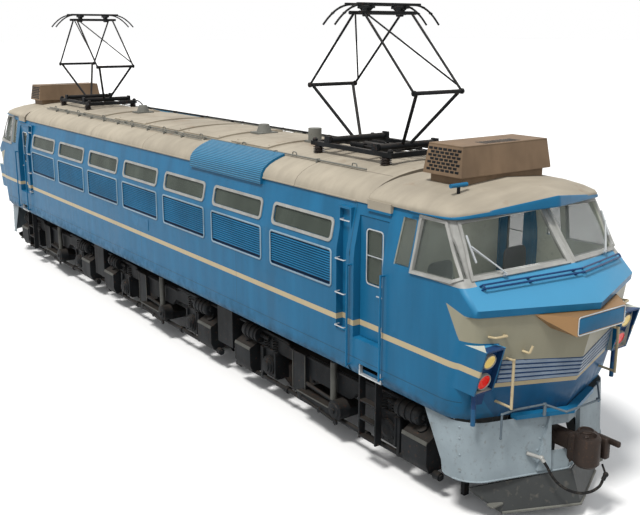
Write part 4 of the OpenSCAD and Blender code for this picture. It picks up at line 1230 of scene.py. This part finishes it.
def dense(corners, per):
    """Closed polyline through corners with per steps on every side."""
    corners = np.asarray(corners, float)
    t = np.linspace(0, 1, per, endpoint=False)[None, :, None]
    return (corners[:, None] * (1 - t) + np.roll(corners, -1, 0)[:, None] * t).reshape(-1, 2)


def outward(normal, points):
    """The normals, turned where needed to point away from the middle of the locomotive's cab."""
    away = points - (7.2, 0, 2.75)
    return normal * np.sign((normal * away).sum(1))[:, None]


class LOCO_OT_nose_trim(LocoOperator):
    """Silver strips, lamps, number boxes, handrails and hooks of the noses"""

    bl_idname = "loco.nose_trim"
    bl_label = "Nose trim"

    def build(self):
        skin("lamps", ["red_lens", "yellow_lens"], smooth=40, pick=lambda c, n: c[:, 2] > 1.98)
        skin("number_boxes", ["bronze"], smooth=20)
        skin("end_handrails", ["cream"])
        self.strips()
        self.lamp_rims()
        self.plates()
        self.hooks()

    def strips(self):
        """Five bars round the nose: at height lerp(low(y), top(y), f), standing proud of the nose's
        surface."""
        shape, proud = Shape(), sizes().strip_proud
        y = np.concatenate([np.linspace(-0.985, 0, 14), np.linspace(0, 0.985, 14)[1:]])
        for i in range(5):
            edges = []
            for f, out in ((i + 0.16, 0), (i + 0.2, proud), (i + 0.8, proud), (i + 0.84, 0)):
                low, top = 1.735 + 0.03 * np.abs(y), 1.986 + 0.0755 * np.abs(y)
                z = low + (top - low) * f / 5
                edges.append(nose(y, z) + (out, 0, 0))
            shape.add(grid(np.stack(edges, 1), wrap_v=True, cap=True))
        shape.both_ends()
        piece("nose_strips", shape, "strip_silver")

    def lamp_rims(self):
        """Turned rim round each lamp, a little in front of its lens."""
        shape = Shape()
        lean = math.atan2(8.574 - 8.42, 2.266 - 1.71)
        axis = np.array([math.cos(lean), 0, -math.sin(lean)])
        for z, d in ((1.852, 0.176), (2.111, 0.16)):
            start = np.array([8.42 - 0.075 + 0.004 + (z - 1.71) * math.tan(lean), -1.22, z])
            rim = [
                [d / 2 + 0.001, 0.0],
                [d / 2 + 0.016, 0.0],
                [d / 2 + 0.016, 0.03],
                [d / 2 + 0.008, 0.042],
                [d / 2 + 0.001, 0.036],
            ]
            shape.both_sides(ring_lathe(rim, start, axis, 32))
        shape.both_ends()
        piece("lamp_rims", shape, "screen_frame")

    def plates(self):
        """Blank blue plate in a thin frame on the front of each number box."""
        shape, rim = Shape(), Shape()
        shape.add(block((9.002, -0.395, 2.395), (9.006, 0.395, 2.575), 0.002)).both_ends()
        piece("blank_number_plates", shape, "plain_blue")
        outline = rounded(0.82, 0.21, 0.03)
        path = np.column_stack([np.full(20, 9.004), outline[:, 0], outline[:, 1] + 2.485])
        rim.add(carried(path, rounded(0.012, 0.012, 0.003), across=(1, 0, 0), closed=True)).both_ends()
        piece("number_plate_frames", rim, "silver")

    def hooks(self):
        """U-shaped step handle over each pod, J-shaped lamp iron beside it."""
        shape = Shape()
        left, right = nose(-1.185, 2.365), nose(-1.02, 2.365)
        handle = bent([left, left + (0.10, 0, 0.015), left + (0.13, 0.165, 0.015), right], 0.03)
        root = nose(-0.76, 2.15)
        iron = bent([root, root + (0.10, 0, 0), root + (0.115, 0.03, 0.085)], 0.02)
        shape.both_sides(tube(handle, 0.015, 10), tube(iron, 0.015, 10))
        shape.both_ends()
        piece("nose_hooks", shape, "cream")


class LOCO_OT_doors(LocoOperator):
    """Cab doors with handles, side handrails and ladders"""

    bl_idname = "loco.doors"
    bl_label = "Doors"

    def build(self):
        for door in ("front_left_door", "front_right_door", "rear_left_door", "rear_right_door"):
            skin(
                door,
                ["body_blue", "glass_door"],
                pick=lambda c, n: (c[:, 2] > 2.545) & (c[:, 2] < 3.225) & (
                    np.abs(np.abs(c[:, 0]) - 6.578) < 0.149
                ) & (np.abs(n[:, 1]) > 0.9),
            )
        skin("side_handrails", ["plain_blue"])
        skin("step_ladders", ["black_iron", "silver"], pick=lambda c, n: c[:, 2] > 1.3)
        self.handles()

    def handles(self):
        """Turned boss and lever, key plate, and the bars round and across the window of every door, on its
        own body."""
        for name, sign_x, sign_y in (
            ("front_right", 1, -1), ("front_left", 1, 1), ("rear_left", -1, -1), ("rear_right", -1, 1)
        ):
            x, y = 6.80 * sign_x, 1.293 * sign_y
            out = np.array([0, sign_y, 0])
            shape = Shape()
            shape.add(
                lathe(
                    [[0, 0], [0.028, 0], [0.028, 0.006], [0.012, 0.01], [0.012, 0.035], [0, 0.036]],
                    (x, y, 2.42),
                    out,
                    16,
                )
            )
            shape.add(
                tube([(x, y + 0.03 * sign_y, 2.42), (x - 0.12 * sign_x, y + 0.034 * sign_y, 2.42)], 0.009, 8)
            )
            shape.add(lathe([[0, 0], [0.02, 0], [0.02, 0.008], [0, 0.008]], (x, y, 2.32), out, 14))
            window_x = DOOR_WINDOW[0] * sign_x
            ring = rounded(0.315, 0.705, 0.05)
            seal = np.column_stack(
                [ring[:, 0] + window_x, np.full(len(ring), y + 0.002 * sign_y), ring[:, 1] + DOOR_WINDOW[1]]
            )
            shape.add(carried(seal, rounded(0.016, 0.012, 0.003), across=out, closed=True))
            bar = np.array([[window_x - 0.15, y, 2.9], [window_x + 0.15, y, 2.9]])
            shape.add(carried(bar, rounded(0.014, 0.012, 0.003), across=UP))
            piece(name + "_door_handle", shape, "silver", body=frame_body(name + "_door"))


def turned_end(part, sign):
    """A surface as it is at the front, or turned half a turn about Z for the rear."""
    return part[0] * (sign, sign, 1), part[1]


def cushion(middle, half, rows=28, columns=48):
    """A crowned closed pad: along its wide axes half * cos(v) ** 0.5 * sign(c) * |c| ** 0.42 of a circle's c, along
    its thin axis half * sign(sin v) * |sin v| ** 0.8, pulled in a little between its corners."""
    v = np.linspace(-math.pi / 2 + 0.02, math.pi / 2 - 0.02, rows)[:, None]
    u = np.linspace(0, 2 * math.pi, columns, endpoint=False)[None, :]
    half = np.asarray(half, float)
    thin = int(np.argmin(half))
    wide = [k for k in range(3) if k != thin]

    def boxy(c):
        """Draws a circle's coordinate out towards a square's."""
        return np.sign(c) * np.abs(c) ** 0.42

    out = np.cos(v) ** 0.5 * np.ones_like(u)
    pull = 1 - 0.03 * np.cos(2 * u) ** 2
    points = np.zeros((rows, columns, 3))
    points[..., wide[0]] = half[wide[0]] * out * boxy(np.cos(u)) * pull
    points[..., wide[1]] = half[wide[1]] * out * boxy(np.sin(u)) * pull
    crown = np.sign(np.sin(v)) * np.abs(np.sin(v)) ** 0.8 * np.ones_like(u)
    points[..., thin] = half[thin] * crown * (1 - 0.25 * out**4 * (np.abs(np.sin(v)) > 0.98))
    return grid(points + np.asarray(middle, float), wrap_v=True, cap=True)


def frame_body(node):
    """The body that a CAD node rides on."""
    return NODES[node]["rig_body"]


class LOCO_OT_cab_interior(LocoOperator):
    """Desks and seats behind the windscreens"""

    bl_idname = "loco.cab_interior"
    bl_label = "Cab interior"

    def build(self):
        skin("cab_desks", ["inside_green"])
        pedestals = Shape()
        post = [
            [0, 0],
            [0.16, 0],
            [0.16, 0.012],
            [0.045, 0.03],
            [0.045, 0.38],
            [0.11, 0.395],
            [0.11, 0.4],
            [0, 0.4],
        ]
        for y in SEATS.values():
            pedestals.add(lathe(post, (7.30, y - 0.06, CAB_FLOOR_Z), UP, 24))
        pedestals.both_ends()
        piece("seat_pedestals", pedestals, "dull_grey", replaces=["driver_seats"])
        for end, sign in ENDS.items():
            for seat, y in SEATS.items():
                for part, middle, half in (
                    ("cushion", (7.38, y, 2.256), (0.225, 0.225, 0.054)),
                    ("back", (7.155, y, 2.585), (0.042, 0.215, 0.305)),
                ):
                    made = piece(
                        f"{end}_{seat}_{part}",
                        turned_end(cushion(middle, half), sign),
                        "seat_cloth",
                        smooth=80,
                    )


class LOCO_OT_air_conditioners(LocoOperator):
    """Tan boxes on the cab roofs with staggered slots"""

    bl_idname = "loco.air_conditioners"
    bl_label = "Air conditioners"

    def build(self):
        skin("air_conditioners", ["aircon_tan"], smooth=25)
        slots = Shape()
        for end in (-1, 1):
            for row in range(7):
                for k in range(7 - row % 2):
                    z = 3.985 + 0.29 * (row + 0.5) / 7
                    x = 7.188 + (k - (6 - row % 2) / 2) * 0.08
                    y = end * (0.781 - 0.049 * (z - 3.95) / 0.364 + 0.001)
                    slots.add(
                        block((x - 0.031, y - 0.004, z - 0.0155), (x + 0.031, y + 0.004, z + 0.0155), 0.002)
                    )
        for k in range(9):
            y = 0.28 - k * 0.07
            slots.add(block((7.24, y - 0.022, 4.311), (7.42, y + 0.022, 4.317), 0.002))
        slots.both_ends()
        piece("aircon_slots", slots, "black_iron")


class LOCO_OT_ends(LocoOperator):
    """Skirts, couplers, ploughs, footplates and levers"""

    bl_idname = "loco.ends"
    bl_label = "Ends"

    def build(self):
        skin("skirts", ["skirt_grey"])
        self.couplers()
        self.skirt_trim()
        skin("pilot_boards", ["plough_grey"])
        skin(
            "footplates",
            ["plain_blue", "lever_grey"],
            pick=lambda c, n: (c[:, 2] > 1.335) | (np.abs(c[:, 1]) > 0.72),
        )

    def couplers(self):
        """Knuckle couplers: a rounded head with a turned knuckle, a jaw on the far side, a hollow top and a
        shank."""
        shape = Shape()
        shape.add(block((8.76, -0.16, 0.735), (8.98, 0.185, 1.08), 0.05, 4))
        knuckle = [
            [0, 0],
            [0.12, 0],
            [0.15, 0.035],
            [0.15, 0.335],
            [0.135, 0.365],
            [0.10, 0.372],
            [0.085, 0.33],
            [0, 0.33],
        ]
        shape.add(lathe(knuckle, (8.985, -0.055, 0.73), UP, 36))
        shape.add(
            lathe([[0, 0], [0.03, 0], [0.03, 0.385], [0.022, 0.394], [0, 0.394]], (9.0, -0.11, 0.717), UP, 16)
        )
        shape.add(block((8.94, 0.10, 0.79), (9.13, 0.195, 1.06), 0.03, 3))
        shape.add(block((9.08, 0.15, 0.98), (9.256, 0.204, 1.05), 0.02, 3))
        shape.add(block((8.30, -0.09, 0.825), (8.80, 0.09, 1.0), 0.02))
        rim = [[0.075, 0.0], [0.1, 0.0], [0.1, 0.016], [0.088, 0.024], [0.075, 0.016]]
        shape.add(ring_lathe(rim, (8.87, 0.06, 1.07), UP, 24))
        for z in (0.75, 0.9, 1.05):
            shape.add(lathe(BOLT, (8.84, -0.158, z), (0, -1, 0), 12))
        shape.both_ends()
        piece("coupler_heads", shape, "coupler_brown", replaces=["couplers"], smooth=40)

    def skirt_trim(self):
        """Raised cheeks beside the coupler's opening, a rolled lower edge, hinges and bolts."""
        trim, bolts = Shape(), Shape()
        for side in (-1, 1):
            u, v = np.meshgrid(np.linspace(0.60, 1.255, 14), np.linspace(0, 1, 4), indexing="ij")
            ay = 0.246 + v * (0.02 + (1.255 - u) * 0.24)
            part = sheet_on((u, v), -0.045 * side, lambda a, b, ay=ay, side=side: skirt(side * ay, a))
            trim.add(part)
            for z in (0.70, 0.84, 0.98, 1.12):
                y = side * (0.246 + 0.02 + (1.255 - z) * 0.24 + 0.035)
                bolts.add(lathe(BOLT, skirt(y, z) - (0.002, 0, 0), (1, side * 0.3, 0), 10))
            for z in (0.66, 0.86, 1.06, 1.2):
                start = skirt(side * 1.255, z)
                bolts.add(lathe(BOLT, start - (0.004, side * 0.004, 0), (0.5, side, 0), 10))
                bolts.add(lathe(BOLT, start - (0.10, side * -0.012, 0.0), (0.3, side, 0), 10))
        y = np.linspace(-1.284, 1.284, 120)
        trim.add(carried(skirt(y, np.full(120, 0.548)), circle(0.012, 8)))
        trim.both_ends()
        bolts.both_ends()
        piece("skirt_cheeks", trim, "skirt_grey", smooth=30)
        piece("skirt_bolts", bolts, "skirt_grey")
        edge = Shape()
        for side in (-1, 1):
            a = np.array([[8.479, side * 0.864, 0.145], [8.925, 0.0, 0.18]])
            edge.add(carried(a, rounded(0.03, 0.02, 0.006)))
            edge.add(block((8.37, side * 0.93 - 0.09, 0.235), (8.47, side * 0.93 + 0.09, 0.262), 0.006))
        edge.both_ends()
        piece("plough_edges", edge, "dull_grey")


def skirt(y, z):
    """Point of the skirt: a V whose ridge runs from 8.70 to 8.65 m, round at its corners."""
    x = v_plan(np.abs(y), 8.70 - 0.05 * (z - 0.528) / 0.75, 0.32, 0.4, 1.29)
    return np.stack(np.broadcast_arrays(x, y, z), -1).astype(float)


class LOCO_OT_running_gear(LocoOperator):
    """Bogies, motors, wheels and underframe"""

    bl_idname = "loco.running_gear"
    bl_label = "Running gear"

    def build(self):
        for which in BOGIE_X:
            skin(which + "_bogie_frame", ["black_iron"])
            skin(which + "_bogie_motors", ["black_iron"])
            self.springs(which)
            self.side_gear(which)
        for k in range(1, 7):
            skin(f"wheelset_{k}", ["wheel_steel"])
        skin("underframe", ["black_iron"])
        skin("equipment_boxes", ["black_iron"])

    def springs(self, which):
        """Coil springs over the axleboxes: a round bar along (r cos t, r sin t, pitch t)."""
        shape = Shape()
        for rel in (-HALF_WHEELBASE, HALF_WHEELBASE):
            for off in (-0.11, 0.11):
                start = np.array([BOGIE_X[which] + rel + off, -1.085, 0.84])
                shape.both_sides(tube(coil(start, UP * 0.19, 0.05, 4.5), 0.011, 7))
        piece(
            which + "_bogie_springs",
            shape,
            "black_iron",
            body=frame_body(which + "_bogie_frame"),
        )

    def side_gear(self, which):
        """Bolted axlebox covers, banded brake cylinders, sandbox lids, pipes, brake hangers, tray rims and
        dampers on both sides of a bogie."""
        gear, bright = Shape(), Shape()
        x0 = BOGIE_X[which]
        cover = [
            [0, 0],
            [0.15, 0],
            [0.15, 0.018],
            [0.125, 0.024],
            [0.12, 0.05],
            [0.085, 0.056],
            [0.08, 0.075],
            [0.05, 0.08],
            [0, 0.08],
        ]
        band = [[0.122, 0], [0.134, 0.004], [0.134, 0.026], [0.122, 0.03]]
        cap = [[0, 0], [0.122, 0], [0.118, 0.02], [0.09, 0.045], [0.04, 0.05], [0.035, 0.09], [0, 0.092]]
        for s in (-1, 1):
            axle = x0 + s * HALF_WHEELBASE
            # The ladders leave little room beside the outermost axleboxes when a bogie turns
            depth = 0.17 if x0 * s > 0 else 1.0
            gear.both_sides(lathe(np.array(cover) * (1, depth), (axle, -1.145, AXLE_Z), (0, -1, 0), 28))
            for k in range(8):
                a = k * math.pi / 4 + 0.39
                at = (
                    axle + 0.135 * math.cos(a), -1.145 - 0.015 * (depth - 0.17), AXLE_Z + 0.135 * math.sin(a)
                )
                gear.both_sides(lathe(BOLT, at, (0, -1, 0), 8))
            gear.both_sides(block((axle - 0.2, -1.118, 0.80), (axle + 0.2, -1.0, 0.85), 0.008))
            for off in (-0.17, 0.17):
                gear.both_sides(
                    block((axle + off - 0.02, -1.152, 0.42), (axle + off + 0.02, -1.11, 0.83), 0.006)
                )
            cylinder = x0 + s * 1.83
            for off in (-0.13, -0.015, 0.10):
                gear.both_sides(ring_lathe(band, (cylinder + off, -1.12, 1.01), (1, 0, 0), 28))
            gear.both_sides(lathe(cap, (cylinder + s * 0.19, -1.12, 1.01), (s, 0, 0), 28))
            gear.both_sides(
                tube([(cylinder - s * 0.19, -1.12, 1.01), (cylinder - s * 0.42, -1.12, 1.01)], 0.028, 12)
            )
            sand = x0 + s * 2.03
            lid = np.array([[sand - 0.225, -1.236, 0.752], [sand + 0.225, -1.236, 0.752]])
            bright.both_sides(carried(lid, rounded(0.05, 0.014, 0.004), across=(0, -1, 0.4)))
            gear.both_sides(
                lathe(
                    [[0, 0], [0.07, 0], [0.07, 0.025], [0.03, 0.035], [0, 0.036]],
                    (sand, -1.10, 0.838),
                    (0, -0.5, 0.87),
                    20,
                )
            )
            sanding = bent(
                [
                    (x0 + s * 1.84, -1.02, 0.36),
                    (x0 + s * 1.84, -0.9, 0.27),
                    (x0 + s * 1.98, -0.70, 0.24),
                    (x0 + s * 1.95, -0.62, 0.12),
                ],
                0.08,
            )
            gear.both_sides(tube(sanding, 0.02, 10))
            for out in (-1, 1):
                hanger = axle + out * 0.66
                gear.both_sides(tube([(hanger, -0.74, 0.92), (hanger - out * 0.04, -0.74, 0.42)], 0.026, 10))
                gear.both_sides(brake_shoe(axle, out))
            joint = [(x0 + s * 0.9, -1.105, 0.33), (x0 + s * 0.98, -1.105, 0.33)]
            gear.both_sides(
                tube(joint, 0.055, 16),
                tube([(x0 + s * 2.28, -1.105, 0.33), (x0 + s * 2.38, -1.105, 0.33)], 0.055, 16),
            )
            gear.both_sides(
                block((x0 + s * 1.62 - 0.03, -1.14, 0.3), (x0 + s * 1.62 + 0.03, -1.05, 0.84), 0.008)
            )
        main = bent(
            [
                (x0 - 2.3, -1.10, 1.09),
                (x0 - 0.9, -1.10, 1.09),
                (x0 - 0.85, -1.10, 1.02),
                (x0 + 0.8, -1.10, 1.02),
                (x0 + 0.85, -1.10, 1.09),
                (x0 + 2.3, -1.10, 1.09),
            ],
            0.05,
        )
        gear.both_sides(tube(main, 0.018, 8))
        gear.both_sides(tube([(x0 - 0.52, -1.12, 0.62), (x0 + 0.3, -1.12, 0.56)], 0.03, 12))
        gear.both_sides(tube([(x0 - 0.40, -1.245, 0.45), (x0 + 0.44, -1.245, 0.36)], 0.02, 10))
        for x, z in ((-0.40, 0.45), (0.44, 0.36), (0.06, 0.405)):
            gear.both_sides(
                lathe(
                    [[0, 0], [0.04, 0], [0.04, 0.03], [0.02, 0.034], [0, 0.034]],
                    (x0 + x, -1.235, z),
                    (0, -1, 0),
                    16,
                )
            )
        pad = [
            [0, 0],
            [0.142, 0],
            [0.142, 0.03],
            [0.11, 0.04],
            [0.1, 0.055],
            [0.04, 0.06],
            [0.035, 0.08],
            [0, 0.08],
        ]
        gear.both_sides(lathe(pad, (x0 + 0.42, -1.22, 0.53), (0, -1, 0), 28))
        bright.both_sides(tube([(x0 + 0.27, -1.15, 0.62), (x0 + 0.27, -1.15, 1.17)], 0.047, 16))
        rim = np.array([[x0 - 0.5, -1.243, 0.515], [x0 + 0.3, -1.243, 0.515]])
        bright.both_sides(carried(rim, rounded(0.018, 0.012, 0.003), across=(0, -1, 0)))
        for x in (-0.73, -0.42):
            edge = np.array([[x0 + x, -1.152, 0.45], [x0 + x, -1.152, 1.04]])
            bright.both_sides(carried(edge, rounded(0.012, 0.012, 0.003), across=(0, -1, 0)))
        body = frame_body(which + "_bogie_frame")
        piece(which + "_bogie_side_gear", gear, "black_iron", body=body)
        # Painted highlight: the bright pieces take the lighter grey iron
        piece(which + "_bogie_highlight_edges", bright, "worn_iron", body=body)


def brake_shoe(axle, out):
    """A curved block that lies a little off the wheel's tread on one side of the axle: a rectangle carried
    round an arc."""
    t = np.linspace(-0.38, 0.38, 9)
    path = np.stack([axle + out * 0.60 * np.cos(t), np.full(9, -0.57), AXLE_Z + 0.60 * np.sin(t)], 1)
    return carried(path, rounded(0.08, 0.05, 0.01), across=(0, 1, 0))


def coil(start, along, radius, turns, per=18):
    """Points of a helix: start + along * t + radius * (side cos 2 pi n t + other sin 2 pi n t)."""
    along = np.asarray(along, float)
    axis = unit(along)
    side = unit(np.cross(axis, np.eye(3)[np.argmin(np.abs(axis))]))
    other = np.cross(axis, side)
    t = np.linspace(0, 1, int(turns * per))[:, None]
    a = t * 2 * math.pi * turns
    return np.asarray(start, float) + along * t + radius * (side * np.cos(a) + other * np.sin(a))


class LOCO_OT_pantographs(LocoOperator):
    """Pantographs: bases, arms and heads"""

    bl_idname = "loco.pantographs"
    bl_label = "Pantographs"

    def build(self):
        for end, x0 in PANTO_X.items():
            for part in ("base", "front_lower_arm", "rear_lower_arm", "front_upper_arm", "rear_upper_arm"):
                skin(f"{end}_panto_{part}", ["black_iron"])
            self.head(end, x0)
            self.base_gear(end, x0)

    def head(self, end, x0):
        """Two contact strips with drooping round horns, on saddles: each horn is a round bar carried along
        its bend."""
        shape = Shape()
        half = [(0.0, 0.0), (0.54, 0.0), (0.70, -0.06), (0.83, -0.16), (0.925, -0.262)]
        bow = np.array([(-y, z) for y, z in half[::-1]] + half[1:])
        for x in (-0.128, 0.128):
            path = bent(np.column_stack([np.full(len(bow), x0 + x), bow[:, 0], 5.955 + bow[:, 1]]), 0.09)
            shape.add(tube(path, 0.014, 10))
            strip = np.array([[x0 + x, -0.55, 5.962], [x0 + x, 0.55, 5.962]])
            shape.add(carried(strip, rounded(0.058, 0.034, 0.008), across=UP))
        for y in (-0.3, 0.3):
            shape.add(block((x0 - 0.16, y - 0.03, 5.905), (x0 + 0.16, y + 0.03, 5.944), 0.008))
            shape.add(block((x0 - 0.05, y - 0.035, 5.80), (x0 + 0.05, y + 0.035, 5.92), 0.012))
            shape.add(tube([(x0 - 0.15, y, 5.925), (x0, y, 5.83), (x0 + 0.15, y, 5.925)], 0.014, 8))
        for y in (-0.5, 0.5):
            shape.add(tube([(x0 - 0.128, y, 5.955), (x0 + 0.128, y, 5.955)], 0.009, 8))
        piece(
            end + "_panto_strips_and_horns",
            shape,
            "black_iron",
            body=frame_body(end + "_panto_head"),
            replaces=[end + "_panto_head"],
        )

    def base_gear(self, end, x0):
        """Ribbed insulators, raising springs, control cylinder, latch and cables on the base."""
        shape, ribs = Shape(), Shape()
        sheds = [[0, 0], [0.06, 0]]
        for k in range(4):
            z = 0.02 + k * 0.032
            sheds += [[0.05, z], [0.082, z + 0.008], [0.082, z + 0.014], [0.05, z + 0.024]]
        sheds += [[0.055, 0.155], [0, 0.155]]
        for x in (-0.75, 0.75):
            for y in (-0.54, 0.54):
                foot = roof_point(x0 + x, y, 0.0)[2] - 0.01
                ribs.add(lathe(np.array(sheds) * (1, (4.0 - foot) / 0.155), (x0 + x, y, foot), UP, 24))
        for y in (-0.2, 0.2):
            shape.add(tube(coil((x0 - 0.40, y, 4.03), (0.30, 0, 0), 0.036, 11, 12), 0.008, 6))
            shape.add(tube(coil((x0 + 0.40, y, 4.03), (-0.30, 0, 0), 0.036, 11, 12), 0.008, 6))
            shape.add(tube([(x0 - 0.82, y, 4.03), (x0 + 0.82, y, 4.03)], 0.014, 8))
        cylinder = [
            [0, 0],
            [0.06, 0],
            [0.066, 0.02],
            [0.066, 0.5],
            [0.05, 0.52],
            [0.02, 0.53],
            [0.02, 0.72],
            [0, 0.72],
        ]
        shape.add(lathe(cylinder, (x0 - 0.36, 0.0, 4.0), (1, 0, 0), 20))
        for x in (-0.82, -0.3, 0.3, 0.82):
            shape.add(block((x0 + x - 0.03, -0.5, 3.985), (x0 + x + 0.03, 0.5, 4.012), 0.006))
        for x in (-0.9, 0.9):
            for y in (-0.54, 0.54):
                shape.add(
                    lathe(
                        [[0, 0], [0.04, 0], [0.04, 0.03], [0.02, 0.05], [0, 0.05]],
                        (x0 + x * 0.93, y, 4.058),
                        UP,
                        14,
                    )
                )
        drop = np.array([[-0.86, 0.5, 4.05], [-0.98, 0.56, 4.06], [-1.1, 0.6, 4.0], [-1.15, 0.6, 3.95]])
        shape.add(tube(smooth_path(drop * (ENDS[end], 1, 1) + (x0, 0, 0)), 0.014, 8))
        piece(end + "_panto_insulators", ribs, "insulator")
        piece(end + "_panto_base_gear", shape, "black_iron")


class LOCO_PT_panel(bpy.types.Panel):
    """Lists the locomotive's operators and settings"""

    bl_label = "Locomotive"
    bl_idname = "LOCO_PT_panel"
    bl_space_type = "VIEW_3D"
    bl_region_type = "UI"
    bl_category = "Locomotive"

    def draw(self, context):
        for operator in OPERATORS:
            self.layout.operator(operator.bl_idname)
        for group in (context.scene.loco_paint, context.scene.loco_sizes):
            box = self.layout.box()
            for key in group.__annotations__:
                box.prop(group, key)


OPERATORS = [
    LOCO_OT_stage,
    LOCO_OT_brake_hoses,
    LOCO_OT_machine_room,
    LOCO_OT_roof,
    LOCO_OT_cabs,
    LOCO_OT_nose_trim,
    LOCO_OT_doors,
    LOCO_OT_cab_interior,
    LOCO_OT_air_conditioners,
    LOCO_OT_ends,
    LOCO_OT_running_gear,
    LOCO_OT_pantographs,
]
CLASSES = [LocoPaint, LocoSizes, *OPERATORS, LOCO_PT_panel]


def register():
    for cls in CLASSES:
        bpy.utils.register_class(cls)
    bpy.types.Scene.loco_paint = bpy.props.PointerProperty(type=LocoPaint)
    bpy.types.Scene.loco_sizes = bpy.props.PointerProperty(type=LocoSizes)


def unregister():
    del bpy.types.Scene.loco_paint
    del bpy.types.Scene.loco_sizes
    for cls in reversed(CLASSES):
        bpy.utils.unregister_class(cls)


def main():
    register()
    for operator in OPERATORS:
        group, name = operator.bl_idname.split(".")
        getattr(getattr(bpy.ops, group), name)()
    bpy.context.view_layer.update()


if __name__ == "__main__":
    main()
